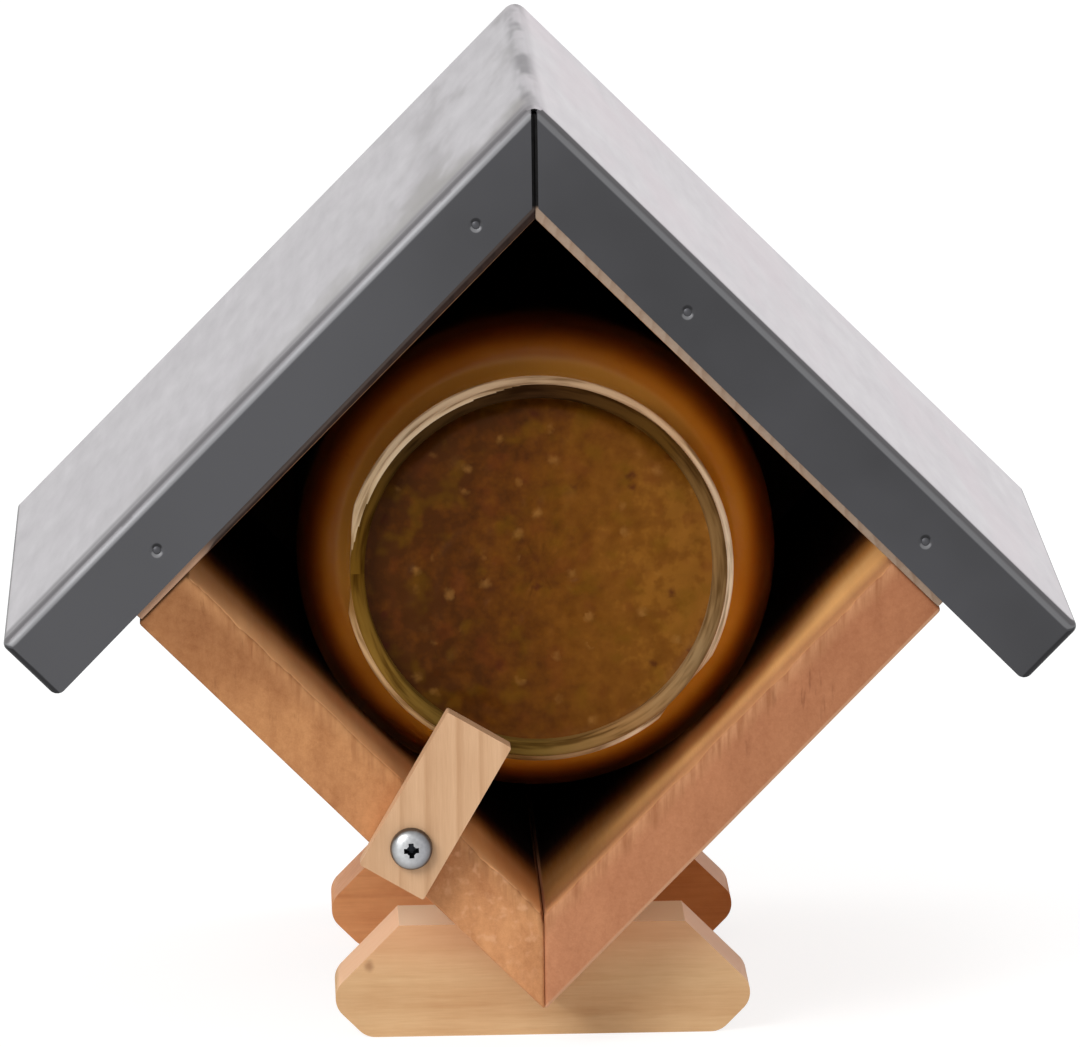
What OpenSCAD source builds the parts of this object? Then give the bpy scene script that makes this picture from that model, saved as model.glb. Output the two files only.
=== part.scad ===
// Peanut butter bird feeder: a square wooden house that stands on one corner
// in two notched feet, under a folded sheet-metal roof. It holds a glass jar
// of peanut butter on its side, mouth to the front, behind a turn button.
//
// Origin: middle of the whole feeder's footprint, on the surface it stands on.
// X runs to the right, Y to the back and Z up.

/* [Jar] */
// Outside diameter of the jar
jar_d = 84.4; // [70:0.2:95]
// Length of the jar from its base to its rim
jar_len = 126; // [100:0.5:145]
// Outside diameter of the jar's neck
neck_d = 66; // [56:0.5:68]
// Height of the jar's neck
neck_h = 14.7; // [12:0.1:18]
// How far the ring round the neck, in place of its threads, stands out
bead_out = 0.9; // [0.6:0.1:2]
// Width of the ring round the neck, along the jar
bead_w = 2.4; // [2:0.2:5]
// Height of the middle of that ring below the rim
bead_drop = 2.8; // [2.7:0.1:8]
// Thickness of the glass wall
glass_t = 2.6; // [2:0.1:3.2]
// Thickness of the glass base
glass_base_t = 4; // [3:0.5:8]
// Radius of the jar's heel
heel_r = 6; // [4:0.5:10]
// How deep the peanut butter lies behind the rim
butter_drop = 4; // [2:0.5:10]

/* [House] */
// Room between the jar and the roof boards
jar_room = 2.6; // [2:0.1:8]
// How far the jar's rim lies behind the front of the cradle boards
jar_inset = 5.7; // [4:0.1:30]
// Thickness of the two cradle boards
cradle_t = 12; // [10:0.5:18]
// Thickness of the back board
back_t = 12; // [8:0.5:18]
// Thickness of the two roof boards
roof_board_t = 14; // [12:0.5:20]
// How far the roof boards reach past the outside of the cradle boards
eave_overhang = 19.2; // [8:0.2:30]
// How far the roof boards stand out at the front and the back
roof_lip = 0.5; // [0.2:0.1:6]

/* [Roof sheet] */
// Thickness of the sheet metal
sheet_t = 0.7; // [0.5:0.1:1]
// Outside radius of the bend at the ridge
ridge_r = 2.4; // [2:0.1:4]
// Outside radius of the folds at the front and the back
fold_r = 2.2; // [1.6:0.1:3]
// Outside radius of the folds at the eaves and of the flanges' ends
corner_r = 1.3; // [1.1:0.1:2]
// Height of the flanges that are folded down over the boards, at the ridge
flange_h = 13; // [11:0.1:14]
// How much higher those flanges are at the eaves
flange_gain = 1.4; // [0:0.1:2]
// Radius of the flanges' lower corners at the eaves
flange_end_r = 2; // [0.5:0.1:4]
// Width of the mitre slit in the flanges at the ridge
slit_w = 1.1; // [0.4:0.1:2]

/* [Feet] */
// Width of a foot at its side points
foot_w = 76.4; // [60:0.2:110]
// Height of a foot
foot_h = 20; // [16:0.5:26]
// Height of the side points above the ground
foot_point_h = 7; // [6:0.5:10]
// Radius of the side points
foot_point_r = 4; // [1:0.5:5]
// Radius of the lower corners
foot_base_r = 4; // [0.5:0.5:6]
// Thickness of a foot, front to back
foot_t = 18; // [12:0.5:24]
// How far the front foot stands in from the front of the cradle boards
front_foot_inset = 15; // [6:0.5:24]
// How far the rear foot stands in from the back of the cradle boards
rear_foot_inset = 19.3; // [6:0.1:28]
// Height of the cradle's bottom edge above the ground
cradle_lift = 7.4; // [5:0.1:10]

/* [Turn button] */
// Length of the turn button
button_len = 31; // [26:0.2:38]
// Width of the turn button
button_w = 12.8; // [10:0.2:16]
// Thickness of the turn button
button_t = 5; // [4:0.5:10]
// Radius of the button's corners
button_corner_r = 0.4; // [0.2:0.1:1.5]
// Distance of the screw from the button's lower end
button_end = 7; // [6:0.1:9]
// Lean of the closed button from the ground, in degrees
button_lean = 59.5; // [40:0.5:80]
// Distance of the screw from the cradle's bottom edge, along the left board
screw_up = 37.8; // [30:0.1:60]
// Distance of the screw from the outside of the left board
screw_in = 5.15; // [4:0.05:7]
// Radius of the screw's shank
screw_r = 1.75; // [1.5:0.05:2]
// Radius of the screw's head
screw_head_r = 3.7; // [3:0.1:4.5]
// Height of the screw's head
screw_head_h = 2.6; // [2:0.1:3]
// Depth that the screw reaches into the board
screw_bite = 18; // [12:1:30]

/* [Nails] */
// Radius of the brads that join the boards
brad_r = 0.7; // [0.5:0.1:1]
// Length of the brads in the roof and cradle mitres
mitre_brad_len = 25; // [18:1:35]
// Depth that the other brads reach past the board they go through
brad_bite = 13; // [8:1:16]
// Depth of the brads' heads below the board's surface
brad_sink = 0.3; // [0.1:0.1:1]
// Radius of the pins that hold the sheet
pin_r = 0.6; // [0.4:0.1:0.9]
// Radius of those pins' heads
pin_head_r = 0.8; // [0.8:0.1:1.6]
// Thickness of those pins' heads
pin_head_t = 0.4; // [0.3:0.1:0.8]
// Depth that the pins reach into the roof boards
pin_bite = 12; // [8:1:20]
// Distance of the pins below the top of the sheet
pin_drop = 8; // [6:0.5:9]
// Distance of the first pin from the ridge, on the left slope
pin_left_1 = 22.6; // [16:0.2:50]
// Distance of the second pin from the ridge, on the left slope
pin_left_2 = 102; // [70:0.5:110]
// Distance of the first pin from the ridge, on the right slope
pin_right_1 = 45; // [16:0.5:60]
// Distance of the second pin from the ridge, on the right slope
pin_right_2 = 103; // [70:0.5:110]

/* [Hidden] */
$fn = 64;

// Clearances
jar_gap = 0.3;      // between the jar and the boards it lies on and against
button_play = 0.15; // on each side of the turn button
screw_play = 0.1;   // round the screw in the button
nail_fit = 0.02;    // round each nail and screw in its own hole
butter_fit = 0.05;  // between the peanut butter and the glass
over = 1;           // how far a cutting shape runs past what it cuts

// Colours
zinc_top = [0.79, 0.79, 0.80];
cedar = [0.72, 0.47, 0.32];
cedar_dark = [0.66, 0.42, 0.28];
pine = [0.82, 0.65, 0.47];
steel = [0.75, 0.76, 0.78];
glass_colour = [0.80, 0.86, 0.82, 0.35];
butter_colour = [0.44, 0.25, 0.07];

// The four boards, seen from the front before the square is turned onto its
// corner. The ridge is the top left corner of that square and the cradle's
// bottom edge the lower right one.
inner_side = jar_d + jar_room;
half_in = inner_side/2;
cradle_out = half_in + cradle_t;
roof_out = half_in + roof_board_t;
sheet_out = roof_out + sheet_t;
eave_out = cradle_out + eave_overhang;
centre_z = cradle_lift + cradle_out*sqrt(2);

// Places along the feeder, from the front of the cradle boards
cradle_len = jar_inset + jar_len + jar_gap;
back_out = cradle_len + back_t;
board_y0 = -roof_lip;
board_y1 = back_out + roof_lip;
sheet_y0 = board_y0 - sheet_t;
sheet_y1 = board_y1 + sheet_t;
front_foot_y = front_foot_inset;
rear_foot_y = cradle_len - rear_foot_inset - foot_t;
button_y1 = -button_play;
button_y0 = button_y1 - button_t;
head_y = button_y0 - button_play;
front_most = head_y - screw_head_h;
back_most = sheet_y1 + pin_head_t;
mid_y = (front_most + back_most)/2;

// Bevels that keep the boards clear of the bends in the sheet
ridge_bevel = ridge_r - sheet_t + 0.1;
fold_bevel = fold_r - sheet_t + 0.1;
end_bevel = corner_r - sheet_t + 0.1;

// The screw of the turn button, in the left board's front end
screw_x = (-screw_up + screw_in)/sqrt(2);
screw_z = cradle_lift + (screw_up + screw_in)/sqrt(2);
recess_w = 0.9;
recess_len = 3.6;
recess_d = 1.4;

// The jar lies in the cradle on its side
jar_r = jar_d/2;
neck_r = neck_d/2;
shoulder_h = jar_r - neck_r;
body_h = jar_len - neck_h - shoulder_h;
jar_z = centre_z - half_in*sqrt(2) + (jar_r + jar_gap)*sqrt(2);

// Rows of brads, along the feeder
row_inset = 14;
middle_y = cradle_len/2;
joint_rows = [row_inset, middle_y, cradle_len - row_inset];
cradle_row = cradle_out - cradle_t/2;
roof_row = roof_out - roof_board_t/2;
back_row_y = cradle_len + back_t/2;
foot_contact = (foot_h - cradle_lift)*sqrt(2);
foot_row = cradle_out - (cradle_t + foot_contact)/2;
foot_nail_shares = [1/3, 2/3];   // of a foot's thickness, right and left
back_nail_a = half_in*0.3;
back_nail_b = -half_in*0.6;

// Puts the feeder's middle over the origin
module home() {
  translate([0, -mid_y, 0]) children();
}

// The right half of the square, turned onto its corner: X then runs down the
// right roof slope and Z points out of it
module right_half() {
  home() translate([0, 0, centre_z]) rotate([0, 45, 0]) children();
}

module left_half() {
  mirror([1, 0, 0]) right_half() children();
}

// Extrudes an outline in X and Z along Y, from y0 to y1
module along_y(y0, y1) {
  translate([0, y1, 0]) rotate([90, 0, 0]) linear_extrude(y1 - y0) children();
}

// A round bar along X, Y or Z from the point p
module bar_x(p, len, r) {
  translate(p) rotate([0, 90, 0]) cylinder(h = len, r = r);
}

module bar_y(p, len, r) {
  translate(p) rotate([-90, 0, 0]) cylinder(h = len, r = r);
}

module bar_down(p, len, r) {
  translate(p) rotate([180, 0, 0]) cylinder(h = len, r = r);
}

// A rectangle from low to high, with a radius for each corner: the one with
// the least x and y first, then clockwise
module rounded_outline(low, high, r_ll, r_lh, r_hh, r_hl) {
  difference() {
    translate(low) square(high - low);
    corner_cut([low.x, low.y], [1, 1], r_ll);
    corner_cut([low.x, high.y], [1, -1], r_lh);
    corner_cut([high.x, high.y], [-1, -1], r_hh);
    corner_cut([high.x, low.y], [-1, 1], r_hl);
  }
}

// What a radius takes off the corner p, where way points into the outline
module corner_cut(p, way, r) {
  translate(p) flipped(way) difference() {
    translate([-over, -over]) square(r + over);
    translate([r, r]) circle(r);
  }
}

module flipped(way) {
  mirror([way.x < 0 ? 1 : 0, 0]) mirror([0, way.y < 0 ? 1 : 0]) children();
}

// A box whose edges are rounded like folded sheet. Its edge at x0 and z1 is
// the ridge; inset is how far it lies inside the outer face of the sheet
module folded_box(inset) {
  low = inset - sheet_out;
  high = eave_out - inset;
  y0 = sheet_y0 + inset;
  y1 = sheet_y1 - inset;
  ridge = ridge_r - inset;
  fold = fold_r - inset;
  end = corner_r - inset;
  intersection() {
    along_y(y0, y1)
      rounded_outline([low, -high], [high, -low], end, ridge, end, end);
    translate([low, 0, 0]) rotate([90, 0, 90]) linear_extrude(high - low)
      rounded_outline([y0, -high], [y1, -low], end, fold, fold, end);
    translate([0, 0, -high]) linear_extrude(high - low)
      rounded_outline([low, y0], [high, y1], fold, fold, end, end);
  }
}

// The folded roof: the top and left sides of a folded box, with a strip of
// its front, back and far sides left as flanges
module roof_sheet() {
  color(zinc_top) right_half() difference() {
    folded_box(0);
    folded_box(sheet_t);
    below_flanges();
    for (y = [sheet_y0 - over, board_y1]) ridge_slit(y);
    for (s = [pin_right_1, pin_right_2]) pin_holes_right(s);
    for (s = [pin_left_1, pin_left_2]) pin_holes_left(s);
  }
}

// The space below the flanges, whose lower edges come down a little more
// towards the eaves and end in a rounded corner
module below_flanges() {
  deep = flange_h + flange_gain;
  far = eave_out + over;
  along_y(sheet_y0 - over, sheet_y1 + over) {
    polygon([[-sheet_out + flange_h, sheet_out - flange_h],
             [eave_out, sheet_out - deep], [far, sheet_out - deep],
             [far, -far], [-sheet_out + deep, -far],
             [-sheet_out + deep, -eave_out]]);
    corner_cut([eave_out, sheet_out - deep], [-1, 1], flange_end_r);
    corner_cut([-sheet_out + deep, -eave_out], [-1, 1], flange_end_r);
  }
}

// The slit where the two halves of a flange meet below the ridge
module ridge_slit(y) {
  depth = flange_h*sqrt(2) + over;
  translate([-sheet_out, y, sheet_out]) rotate([0, -45, 0])
    translate([-slit_w/2, 0, -depth]) cube([slit_w, sheet_t + over, depth + over]);
}

module pin_holes_right(s) {
  bar_y([s - sheet_out, sheet_y0 - over, sheet_out - pin_drop],
        sheet_y1 - sheet_y0 + 2*over, pin_r + nail_fit);
}

module pin_holes_left(s) {
  bar_y([pin_drop - sheet_out, sheet_y0 - over, sheet_out - s],
        sheet_y1 - sheet_y0 + 2*over, pin_r + nail_fit);
}

// One roof board, as the right one: it is mitred at the ridge, beveled where
// the sheet is folded round it, and beveled behind the flange's lower corner
module roof_board_blank() {
  end = eave_out - sheet_t;
  intersection() {
    along_y(board_y0, board_y1)
      polygon([[-half_in, half_in],
               [ridge_bevel/2 - roof_out, roof_out - ridge_bevel/2],
               [ridge_bevel - roof_out, roof_out],
               [end - end_bevel, roof_out],
               [end, roof_out - end_bevel], [end, half_in + flange_end_r],
               [end - flange_end_r, half_in]]);
    translate([-roof_out, 0, 0]) rotate([90, 0, 90])
      linear_extrude(end + roof_out)
        polygon([[board_y0, half_in], [board_y0, roof_out - fold_bevel],
                 [board_y0 + fold_bevel, roof_out],
                 [board_y1 - fold_bevel, roof_out],
                 [board_y1, roof_out - fold_bevel], [board_y1, half_in]]);
    translate([0, 0, half_in]) linear_extrude(roof_board_t)
      polygon([[-roof_out, board_y0], [end - end_bevel, board_y0],
               [end, board_y0 + end_bevel], [end, board_y1 - end_bevel],
               [end - end_bevel, board_y1], [-roof_out, board_y1]]);
  }
}

// Holes for the pins at s1 and s2 from the ridge, for the brads in the
// cradle board below and for the one in the back board
module roof_board_holes(s1, s2) {
  hole = brad_r + nail_fit;
  for (s = [s1, s2]) {
    at = s - sheet_out;
    down = sheet_out - pin_drop;
    bar_y([at, board_y0 - over, down], pin_bite + over, pin_r + nail_fit);
    bar_y([at, board_y1 - pin_bite, down], pin_bite + over, pin_r + nail_fit);
  }
  for (y = joint_rows)
    bar_down([cradle_row, y, roof_out + over], roof_board_t + 2*over, hole);
  bar_down([back_nail_a, back_row_y, roof_out + over],
           roof_board_t + 2*over, hole);
}

module roof_board_right() {
  color(cedar) right_half() difference() {
    roof_board_blank();
    roof_board_holes(pin_right_1, pin_right_2);
    for (y = joint_rows)
      bar_x([-roof_out, y, roof_row], mitre_brad_len + nail_fit + brad_sink,
            brad_r + nail_fit);
  }
}

module roof_board_left() {
  color(cedar) left_half() difference() {
    roof_board_blank();
    roof_board_holes(pin_left_1, pin_left_2);
    for (y = joint_rows)
      bar_down([-roof_row, y, roof_out + over], roof_board_t + 2*over,
               brad_r + nail_fit);
  }
}

// One cradle board, as the right one: mitred at the bottom edge, and cut
// square where it stands against the roof board
module cradle_board_blank() {
  along_y(0, cradle_len)
    polygon([[half_in, half_in], [cradle_out, half_in],
             [cradle_out, -cradle_out], [half_in, -half_in]]);
}

module cradle_board_holes(foot_nail_share) {
  hole = brad_r + nail_fit;
  for (y = joint_rows)
    bar_down([cradle_row, y, half_in + over], brad_bite + over, hole);
  for (z = [back_nail_a, back_nail_b])
    bar_y([cradle_row, cradle_len - brad_bite, z], brad_bite + over, hole);
  for (y = [front_foot_y, rear_foot_y])
    bar_x([half_in - over, y + foot_t*foot_nail_share, -foot_row],
          cradle_t + 2*over, hole);
}

module cradle_board_right() {
  color(cedar) right_half() difference() {
    cradle_board_blank();
    cradle_board_holes(foot_nail_shares[0]);
    for (y = joint_rows)
      translate([cradle_row, y, -cradle_out - over])
        cylinder(h = mitre_brad_len + brad_sink + over, r = brad_r + nail_fit);
  }
}

module cradle_board_left() {
  color(cedar) home() difference() {
    translate([0, mid_y, 0]) left_half() difference() {
      cradle_board_blank();
      cradle_board_holes(foot_nail_shares[1]);
      for (y = joint_rows)
        bar_x([half_in - over, y, -cradle_row], cradle_t + 2*over,
              brad_r + nail_fit);
    }
    bar_y([screw_x, -over, screw_z], screw_bite + over, screw_r + nail_fit);
  }
}

// The back board closes the house behind the jar, on the ends of the cradle
// boards and under the roof boards
module back_board() {
  hole = brad_r + nail_fit;
  color(cedar_dark) right_half() difference() {
    along_y(cradle_len, back_out)
      translate([-half_in, -cradle_out]) square(half_in + cradle_out);
    for (at = [back_nail_a, back_nail_b]) {
      bar_y([cradle_row, cradle_len - over, at], back_t + 2*over, hole);
      bar_y([-at, cradle_len - over, -cradle_row], back_t + 2*over, hole);
    }
    bar_down([back_nail_a, back_row_y, half_in + over], brad_bite + over, hole);
    bar_x([-half_in - over, back_row_y, -back_nail_a], brad_bite + over, hole);
  }
}

// One foot: a six-sided board with a notch for the cradle's bottom edge
module foot(y) {
  point_x = foot_w/2;
  blunt = foot_point_r/sqrt(2);
  round_x = point_x - foot_point_r*sqrt(2);
  low_x = point_x - foot_point_h;
  top_x = point_x - (foot_h - foot_point_h);
  flat_x = low_x - foot_base_r*(sqrt(2) - 1);
  rise = foot_base_r*(1 - sqrt(1/2));
  rise_x = flat_x + foot_base_r*sqrt(1/2);
  notch = foot_h + over - cradle_lift;
  home() difference() {
    along_y(y, y + foot_t) difference() {
      union() {
        polygon([[-rise_x, rise], [-flat_x, 0], [flat_x, 0], [rise_x, rise],
                 [round_x + blunt, foot_point_h - blunt],
                 [round_x + blunt, foot_point_h + blunt],
                 [top_x, foot_h], [-top_x, foot_h],
                 [-round_x - blunt, foot_point_h + blunt],
                 [-round_x - blunt, foot_point_h - blunt]]);
        for (side = [-1, 1]) {
          translate([side*round_x, foot_point_h]) circle(foot_point_r);
          translate([side*flat_x, foot_base_r]) circle(foot_base_r);
        }
      }
      polygon([[0, cradle_lift], [notch, foot_h + over],
               [-notch, foot_h + over]]);
    }
    translate([0, mid_y, 0]) {
      right_half() foot_hole(y + foot_t*foot_nail_shares[0]);
      left_half() foot_hole(y + foot_t*foot_nail_shares[1]);
    }
  }
}

module foot_hole(y) {
  bar_x([cradle_out - over, y, -foot_row], brad_bite + over,
        brad_r + nail_fit);
}

module front_foot() {
  color(pine) foot(front_foot_y);
}

module rear_foot() {
  color(cedar_dark) foot(rear_foot_y);
}

// The turn button, which swings round its screw in front of the jar
module turn_button() {
  color(pine) home() translate([screw_x, 0, screw_z])
    rotate([0, -button_lean, 0])
      along_y(button_y0, button_y1) difference() {
        rounded_outline([-button_end, -button_w/2],
                        [button_len - button_end, button_w/2],
                        button_corner_r, button_corner_r,
                        button_corner_r, button_corner_r);
        circle(screw_r + screw_play);
      }
}

// A pan-head screw with a cross recess
module button_screw() {
  edge_r = screw_head_h*0.7;
  color(steel) home() translate([screw_x, head_y, screw_z]) {
    difference() {
      rotate([90, 0, 0]) rotate_extrude() difference() {
        square([screw_head_r, screw_head_h]);
        corner_cut([screw_head_r, screw_head_h], [-1, -1], edge_r);
      }
      for (turn = [0, 90])
        rotate([0, turn, 0])
          translate([-recess_len/2, -screw_head_h - over, -recess_w/2])
            cube([recess_len, recess_d + over, recess_w]);
    }
    bar_y([0, 0, 0], screw_bite - head_y, screw_r);
  }
}

// Half the outline of the jar, or of the space in it: inset is the wall
// taken off all round, and top is where the outline ends
module jar_outline(inset, base, top) {
  r = jar_r - inset;
  heel = heel_r - min(inset, heel_r - 1);
  difference() {
    union() {
      translate([0, base]) square([r, body_h - base]);
      translate([neck_r, body_h]) circle(shoulder_h - inset);
      translate([0, body_h]) square([neck_r, shoulder_h - inset]);
      translate([0, body_h]) square([neck_r - inset, top - body_h]);
    }
    corner_cut([r, base], [-1, 1], heel);
    translate([-2*jar_r, body_h - jar_r]) square([2*jar_r, 2*jar_r]);
  }
}

// Stands the jar's axis along Y, with its base against the back board
module lay_jar() {
  home() translate([0, cradle_len - jar_gap, jar_z]) rotate([90, 0, 0])
    rotate_extrude() children();
}

module jar_glass() {
  color(glass_colour) lay_jar() difference() {
    union() {
      jar_outline(0, 0, jar_len);
      translate([0, jar_len - bead_drop - bead_w/2])
        square([neck_r + bead_out, bead_w]);
    }
    jar_outline(glass_t, glass_base_t, jar_len + over);
  }
}

module peanut_butter() {
  color(butter_colour) lay_jar()
    jar_outline(glass_t + butter_fit, glass_base_t + butter_fit,
                jar_len - butter_drop);
}

// A pin with a flat head, driven from y towards the middle of the feeder
module roof_pin(x, y, z, way) {
  shank = sheet_t + pin_bite;
  translate([x, y, z]) rotate([-90*way, 0, 0]) {
    cylinder(h = shank, r = pin_r);
    translate([0, 0, -pin_head_t]) cylinder(h = pin_head_t, r = pin_head_r);
  }
}

module roof_pins(y, way) {
  z = sheet_out - pin_drop;
  color(steel) {
    right_half()
      for (s = [pin_right_1, pin_right_2]) roof_pin(s - sheet_out, y, z, way);
    left_half()
      for (s = [pin_left_1, pin_left_2]) roof_pin(s - sheet_out, y, z, way);
  }
}

module front_roof_pins() {
  roof_pins(sheet_y0, 1);
}

module rear_roof_pins() {
  roof_pins(sheet_y1, -1);
}

// Brads through the left roof board into the right one, under the sheet
module ridge_brads() {
  color(steel) right_half()
    for (y = joint_rows)
      bar_x([brad_sink - roof_out, y, roof_row], mitre_brad_len, brad_r);
}

// Brads through a roof board into the top of the cradle board below it
module eave_brads() {
  for (y = joint_rows)
    bar_down([cradle_row, y, roof_out - brad_sink],
             roof_board_t - brad_sink + brad_bite, brad_r);
}

module eave_brads_left() {
  color(steel) left_half() eave_brads();
}

module eave_brads_right() {
  color(steel) right_half() eave_brads();
}

// Brads through the left cradle board into the right one
module cradle_brads() {
  color(steel) right_half()
    for (y = joint_rows)
      translate([cradle_row, y, brad_sink - cradle_out])
        cylinder(h = mitre_brad_len, r = brad_r);
}

// Brads through the back board into the cradle boards, and through the roof
// boards into the back board
module back_board_brads() {
  from_back = back_t - brad_sink + brad_bite;
  from_roof = roof_board_t - brad_sink + brad_bite;
  color(steel) right_half() {
    for (at = [back_nail_a, back_nail_b]) {
      bar_y([cradle_row, cradle_len - brad_bite, at], from_back, brad_r);
      bar_y([-at, cradle_len - brad_bite, -cradle_row], from_back, brad_r);
    }
    bar_down([back_nail_a, back_row_y, roof_out - brad_sink], from_roof, brad_r);
    bar_x([brad_sink - roof_out, back_row_y, -back_nail_a], from_roof, brad_r);
  }
}

// Two brads through the cradle boards, one into each side of a foot
module foot_brads(y) {
  len = cradle_t - brad_sink + brad_bite;
  color(steel) {
    right_half()
      bar_x([half_in + brad_sink, y + foot_t*foot_nail_shares[0], -foot_row],
            len, brad_r);
    left_half()
      bar_x([half_in + brad_sink, y + foot_t*foot_nail_shares[1], -foot_row],
            len, brad_r);
  }
}

module front_foot_brads() {
  foot_brads(front_foot_y);
}

module rear_foot_brads() {
  foot_brads(rear_foot_y);
}

roof_sheet();
roof_board_left();
roof_board_right();
cradle_board_left();
cradle_board_right();
back_board();
front_foot();
rear_foot();
turn_button();
button_screw();
jar_glass();
peanut_butter();
front_roof_pins();
rear_roof_pins();
ridge_brads();
eave_brads_left();
eave_brads_right();
cradle_brads();
back_board_brads();
front_foot_brads();
rear_foot_brads();
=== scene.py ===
# %% [markdown]
# # A peanut butter bird feeder
#
# The feeder is a small square house of red softwood that stands on one corner
# in two notched feet. A folded zinc sheet covers its two upper boards. A glass
# jar of peanut butter lies inside on its side, with its open mouth to the
# front, and a wooden turn button keeps it there.
#
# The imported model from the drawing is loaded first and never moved. It gives
# every size and place. This script adds what a drawing leaves out: eased
# edges, torn grain, dimples round the nails, the thread of the jar, the lumpy
# butter, and a finish for every part.

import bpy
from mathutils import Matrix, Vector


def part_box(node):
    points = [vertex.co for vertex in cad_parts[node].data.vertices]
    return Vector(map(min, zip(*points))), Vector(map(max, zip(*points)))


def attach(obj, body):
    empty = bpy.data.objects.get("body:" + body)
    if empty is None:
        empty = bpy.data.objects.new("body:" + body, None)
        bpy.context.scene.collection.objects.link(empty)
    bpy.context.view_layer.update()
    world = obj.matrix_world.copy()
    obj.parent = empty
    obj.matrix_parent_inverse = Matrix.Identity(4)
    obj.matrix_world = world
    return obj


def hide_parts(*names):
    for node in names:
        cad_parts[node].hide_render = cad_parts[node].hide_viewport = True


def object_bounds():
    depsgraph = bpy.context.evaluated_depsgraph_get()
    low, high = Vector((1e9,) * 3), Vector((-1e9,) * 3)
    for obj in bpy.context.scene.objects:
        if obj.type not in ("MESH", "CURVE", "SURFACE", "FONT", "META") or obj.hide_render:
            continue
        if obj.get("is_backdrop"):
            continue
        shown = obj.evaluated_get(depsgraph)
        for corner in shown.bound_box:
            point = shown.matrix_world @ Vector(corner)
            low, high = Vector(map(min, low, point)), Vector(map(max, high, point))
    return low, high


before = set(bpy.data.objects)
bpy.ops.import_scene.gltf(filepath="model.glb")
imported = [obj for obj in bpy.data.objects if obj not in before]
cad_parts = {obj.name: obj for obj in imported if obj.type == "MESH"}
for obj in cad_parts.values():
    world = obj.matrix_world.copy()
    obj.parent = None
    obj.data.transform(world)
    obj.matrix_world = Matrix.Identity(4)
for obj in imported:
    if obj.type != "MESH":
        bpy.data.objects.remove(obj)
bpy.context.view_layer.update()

# %% The tools for the rest of the script
import math

import bmesh
import bpy
from mathutils import Matrix, Quaternion, Vector, noise

MM = 0.001
HAIR = 0.001 * MM    # what lies closer together than this counts as one
ROOT_2 = math.sqrt(2)
BEND_LOSS = ROOT_2 - 1    # what rounding by 1 takes off a right-angled corner

# %% [markdown]
# ## Sizes, read from the frame
#
# All four walls are the sides of one square that is turned by 45 degrees. So
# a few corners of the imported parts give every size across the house: the top
# corner of a cradle board lies level with the square's middle, its lowest
# corner gives the outside, and the top of the back board gives the inside.

# %% Sizes of the house
cradle_low, cradle_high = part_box("cradle_board_right")
middle_z = cradle_high.z
cradle_out = (middle_z - cradle_low.z) / ROOT_2
inner = (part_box("back_board")[1].z - middle_z) / ROOT_2
front_y, cradle_end_y = cradle_low.y, cradle_high.y

ridge_r = 2.4 * MM
fold_r = 2.2 * MM
corner_r = 1.3 * MM
sheet_t = 0.7 * MM
sheet_low, sheet_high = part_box("roof_sheet")
sheet_out = (sheet_high.z - middle_z + BEND_LOSS * ridge_r) / ROOT_2
eave_out = (sheet_high.x + BEND_LOSS * corner_r) * ROOT_2 - sheet_out
print("half the inside of the house:", round(inner / MM, 2), "mm")
print("ridge to eave, down the slope:", round((sheet_out + eave_out) / MM, 2), "mm")

# %% From the flat square to the turned one
to_right = Matrix.Translation((0, 0, middle_z)) @ Matrix.Rotation(math.pi / 4, 4, "Y")
to_left = Matrix.Scale(-1, 4, (1, 0, 0)) @ to_right

# %% [markdown]
# ## Camera
#
# The photograph is almost a front view, taken from far away: the jar and the
# house show hardly any perspective. A lens of 400 mm from two metres gives the
# same. The camera looks down a little, so that both roof slopes show, stands a
# little to the left, and is turned by less than a degree.

# %% Set up the camera
camera_at = Vector((-48.09, -2125.73, 438.59)) * MM
camera_aim = Vector((0.16, -68.85, 93.85)) * MM
camera_roll = math.radians(-0.715)

camera_data = bpy.data.cameras.new("camera")
camera_data.lens = 400
camera_data.sensor_width = 36
camera_data.clip_start = 0.1
camera_data.clip_end = 50
camera = bpy.data.objects.new("camera", camera_data)
bpy.context.scene.collection.objects.link(camera)
camera.location = camera_at
camera.rotation_mode = "QUATERNION"
aim = (camera_aim - camera_at).to_track_quat("-Z", "Y")
camera.rotation_quaternion = aim @ Quaternion((0, 0, 1), camera_roll)
bpy.context.scene.camera = camera
print("camera distance:", round((camera_aim - camera_at).length, 3), "m")

# %% [markdown]
# ## Shader steps
#
# Every finish is a small tree of shader nodes. What changes over a surface, a
# number, a place or a colour, is held here as a field. Fields are added and
# multiplied like numbers, and each step adds the node that does it, so that a
# finish reads as plain sums. Colours are written as they look on a screen and
# turned into light values, which is what shaders count in.

# %% Colours
white = (1.0, 1.0, 1.0, 1.0)
black = (0.0, 0.0, 0.0, 1.0)


def seen(red, green, blue):
    """The light values of a colour that is given as it looks on a screen."""
    def light(value):
        share = value / 255
        if share <= 0.04045:
            return share / 12.92
        return ((share + 0.055) / 1.055) ** 2.4
    return (light(red), light(green), light(blue), 1.0)

# %% Nodes
def fill(tree, node, sockets):
    """Fills a node's sockets, each with a plain value or with a field."""
    for socket, value in sockets.items():
        if isinstance(value, Field):
            tree.links.new(value.output, node.inputs[socket])
        else:
            node.inputs[socket].default_value = value


def add(tree, kind, sockets=None, output=0, **settings):
    """Adds a shader node and gives one of its outputs as a field."""
    node = tree.nodes.new("ShaderNode" + kind)
    for setting, value in settings.items():
        setattr(node, setting, value)
    fill(tree, node, sockets or {})
    if node.outputs:
        return Field(tree, node.outputs[output])

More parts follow.
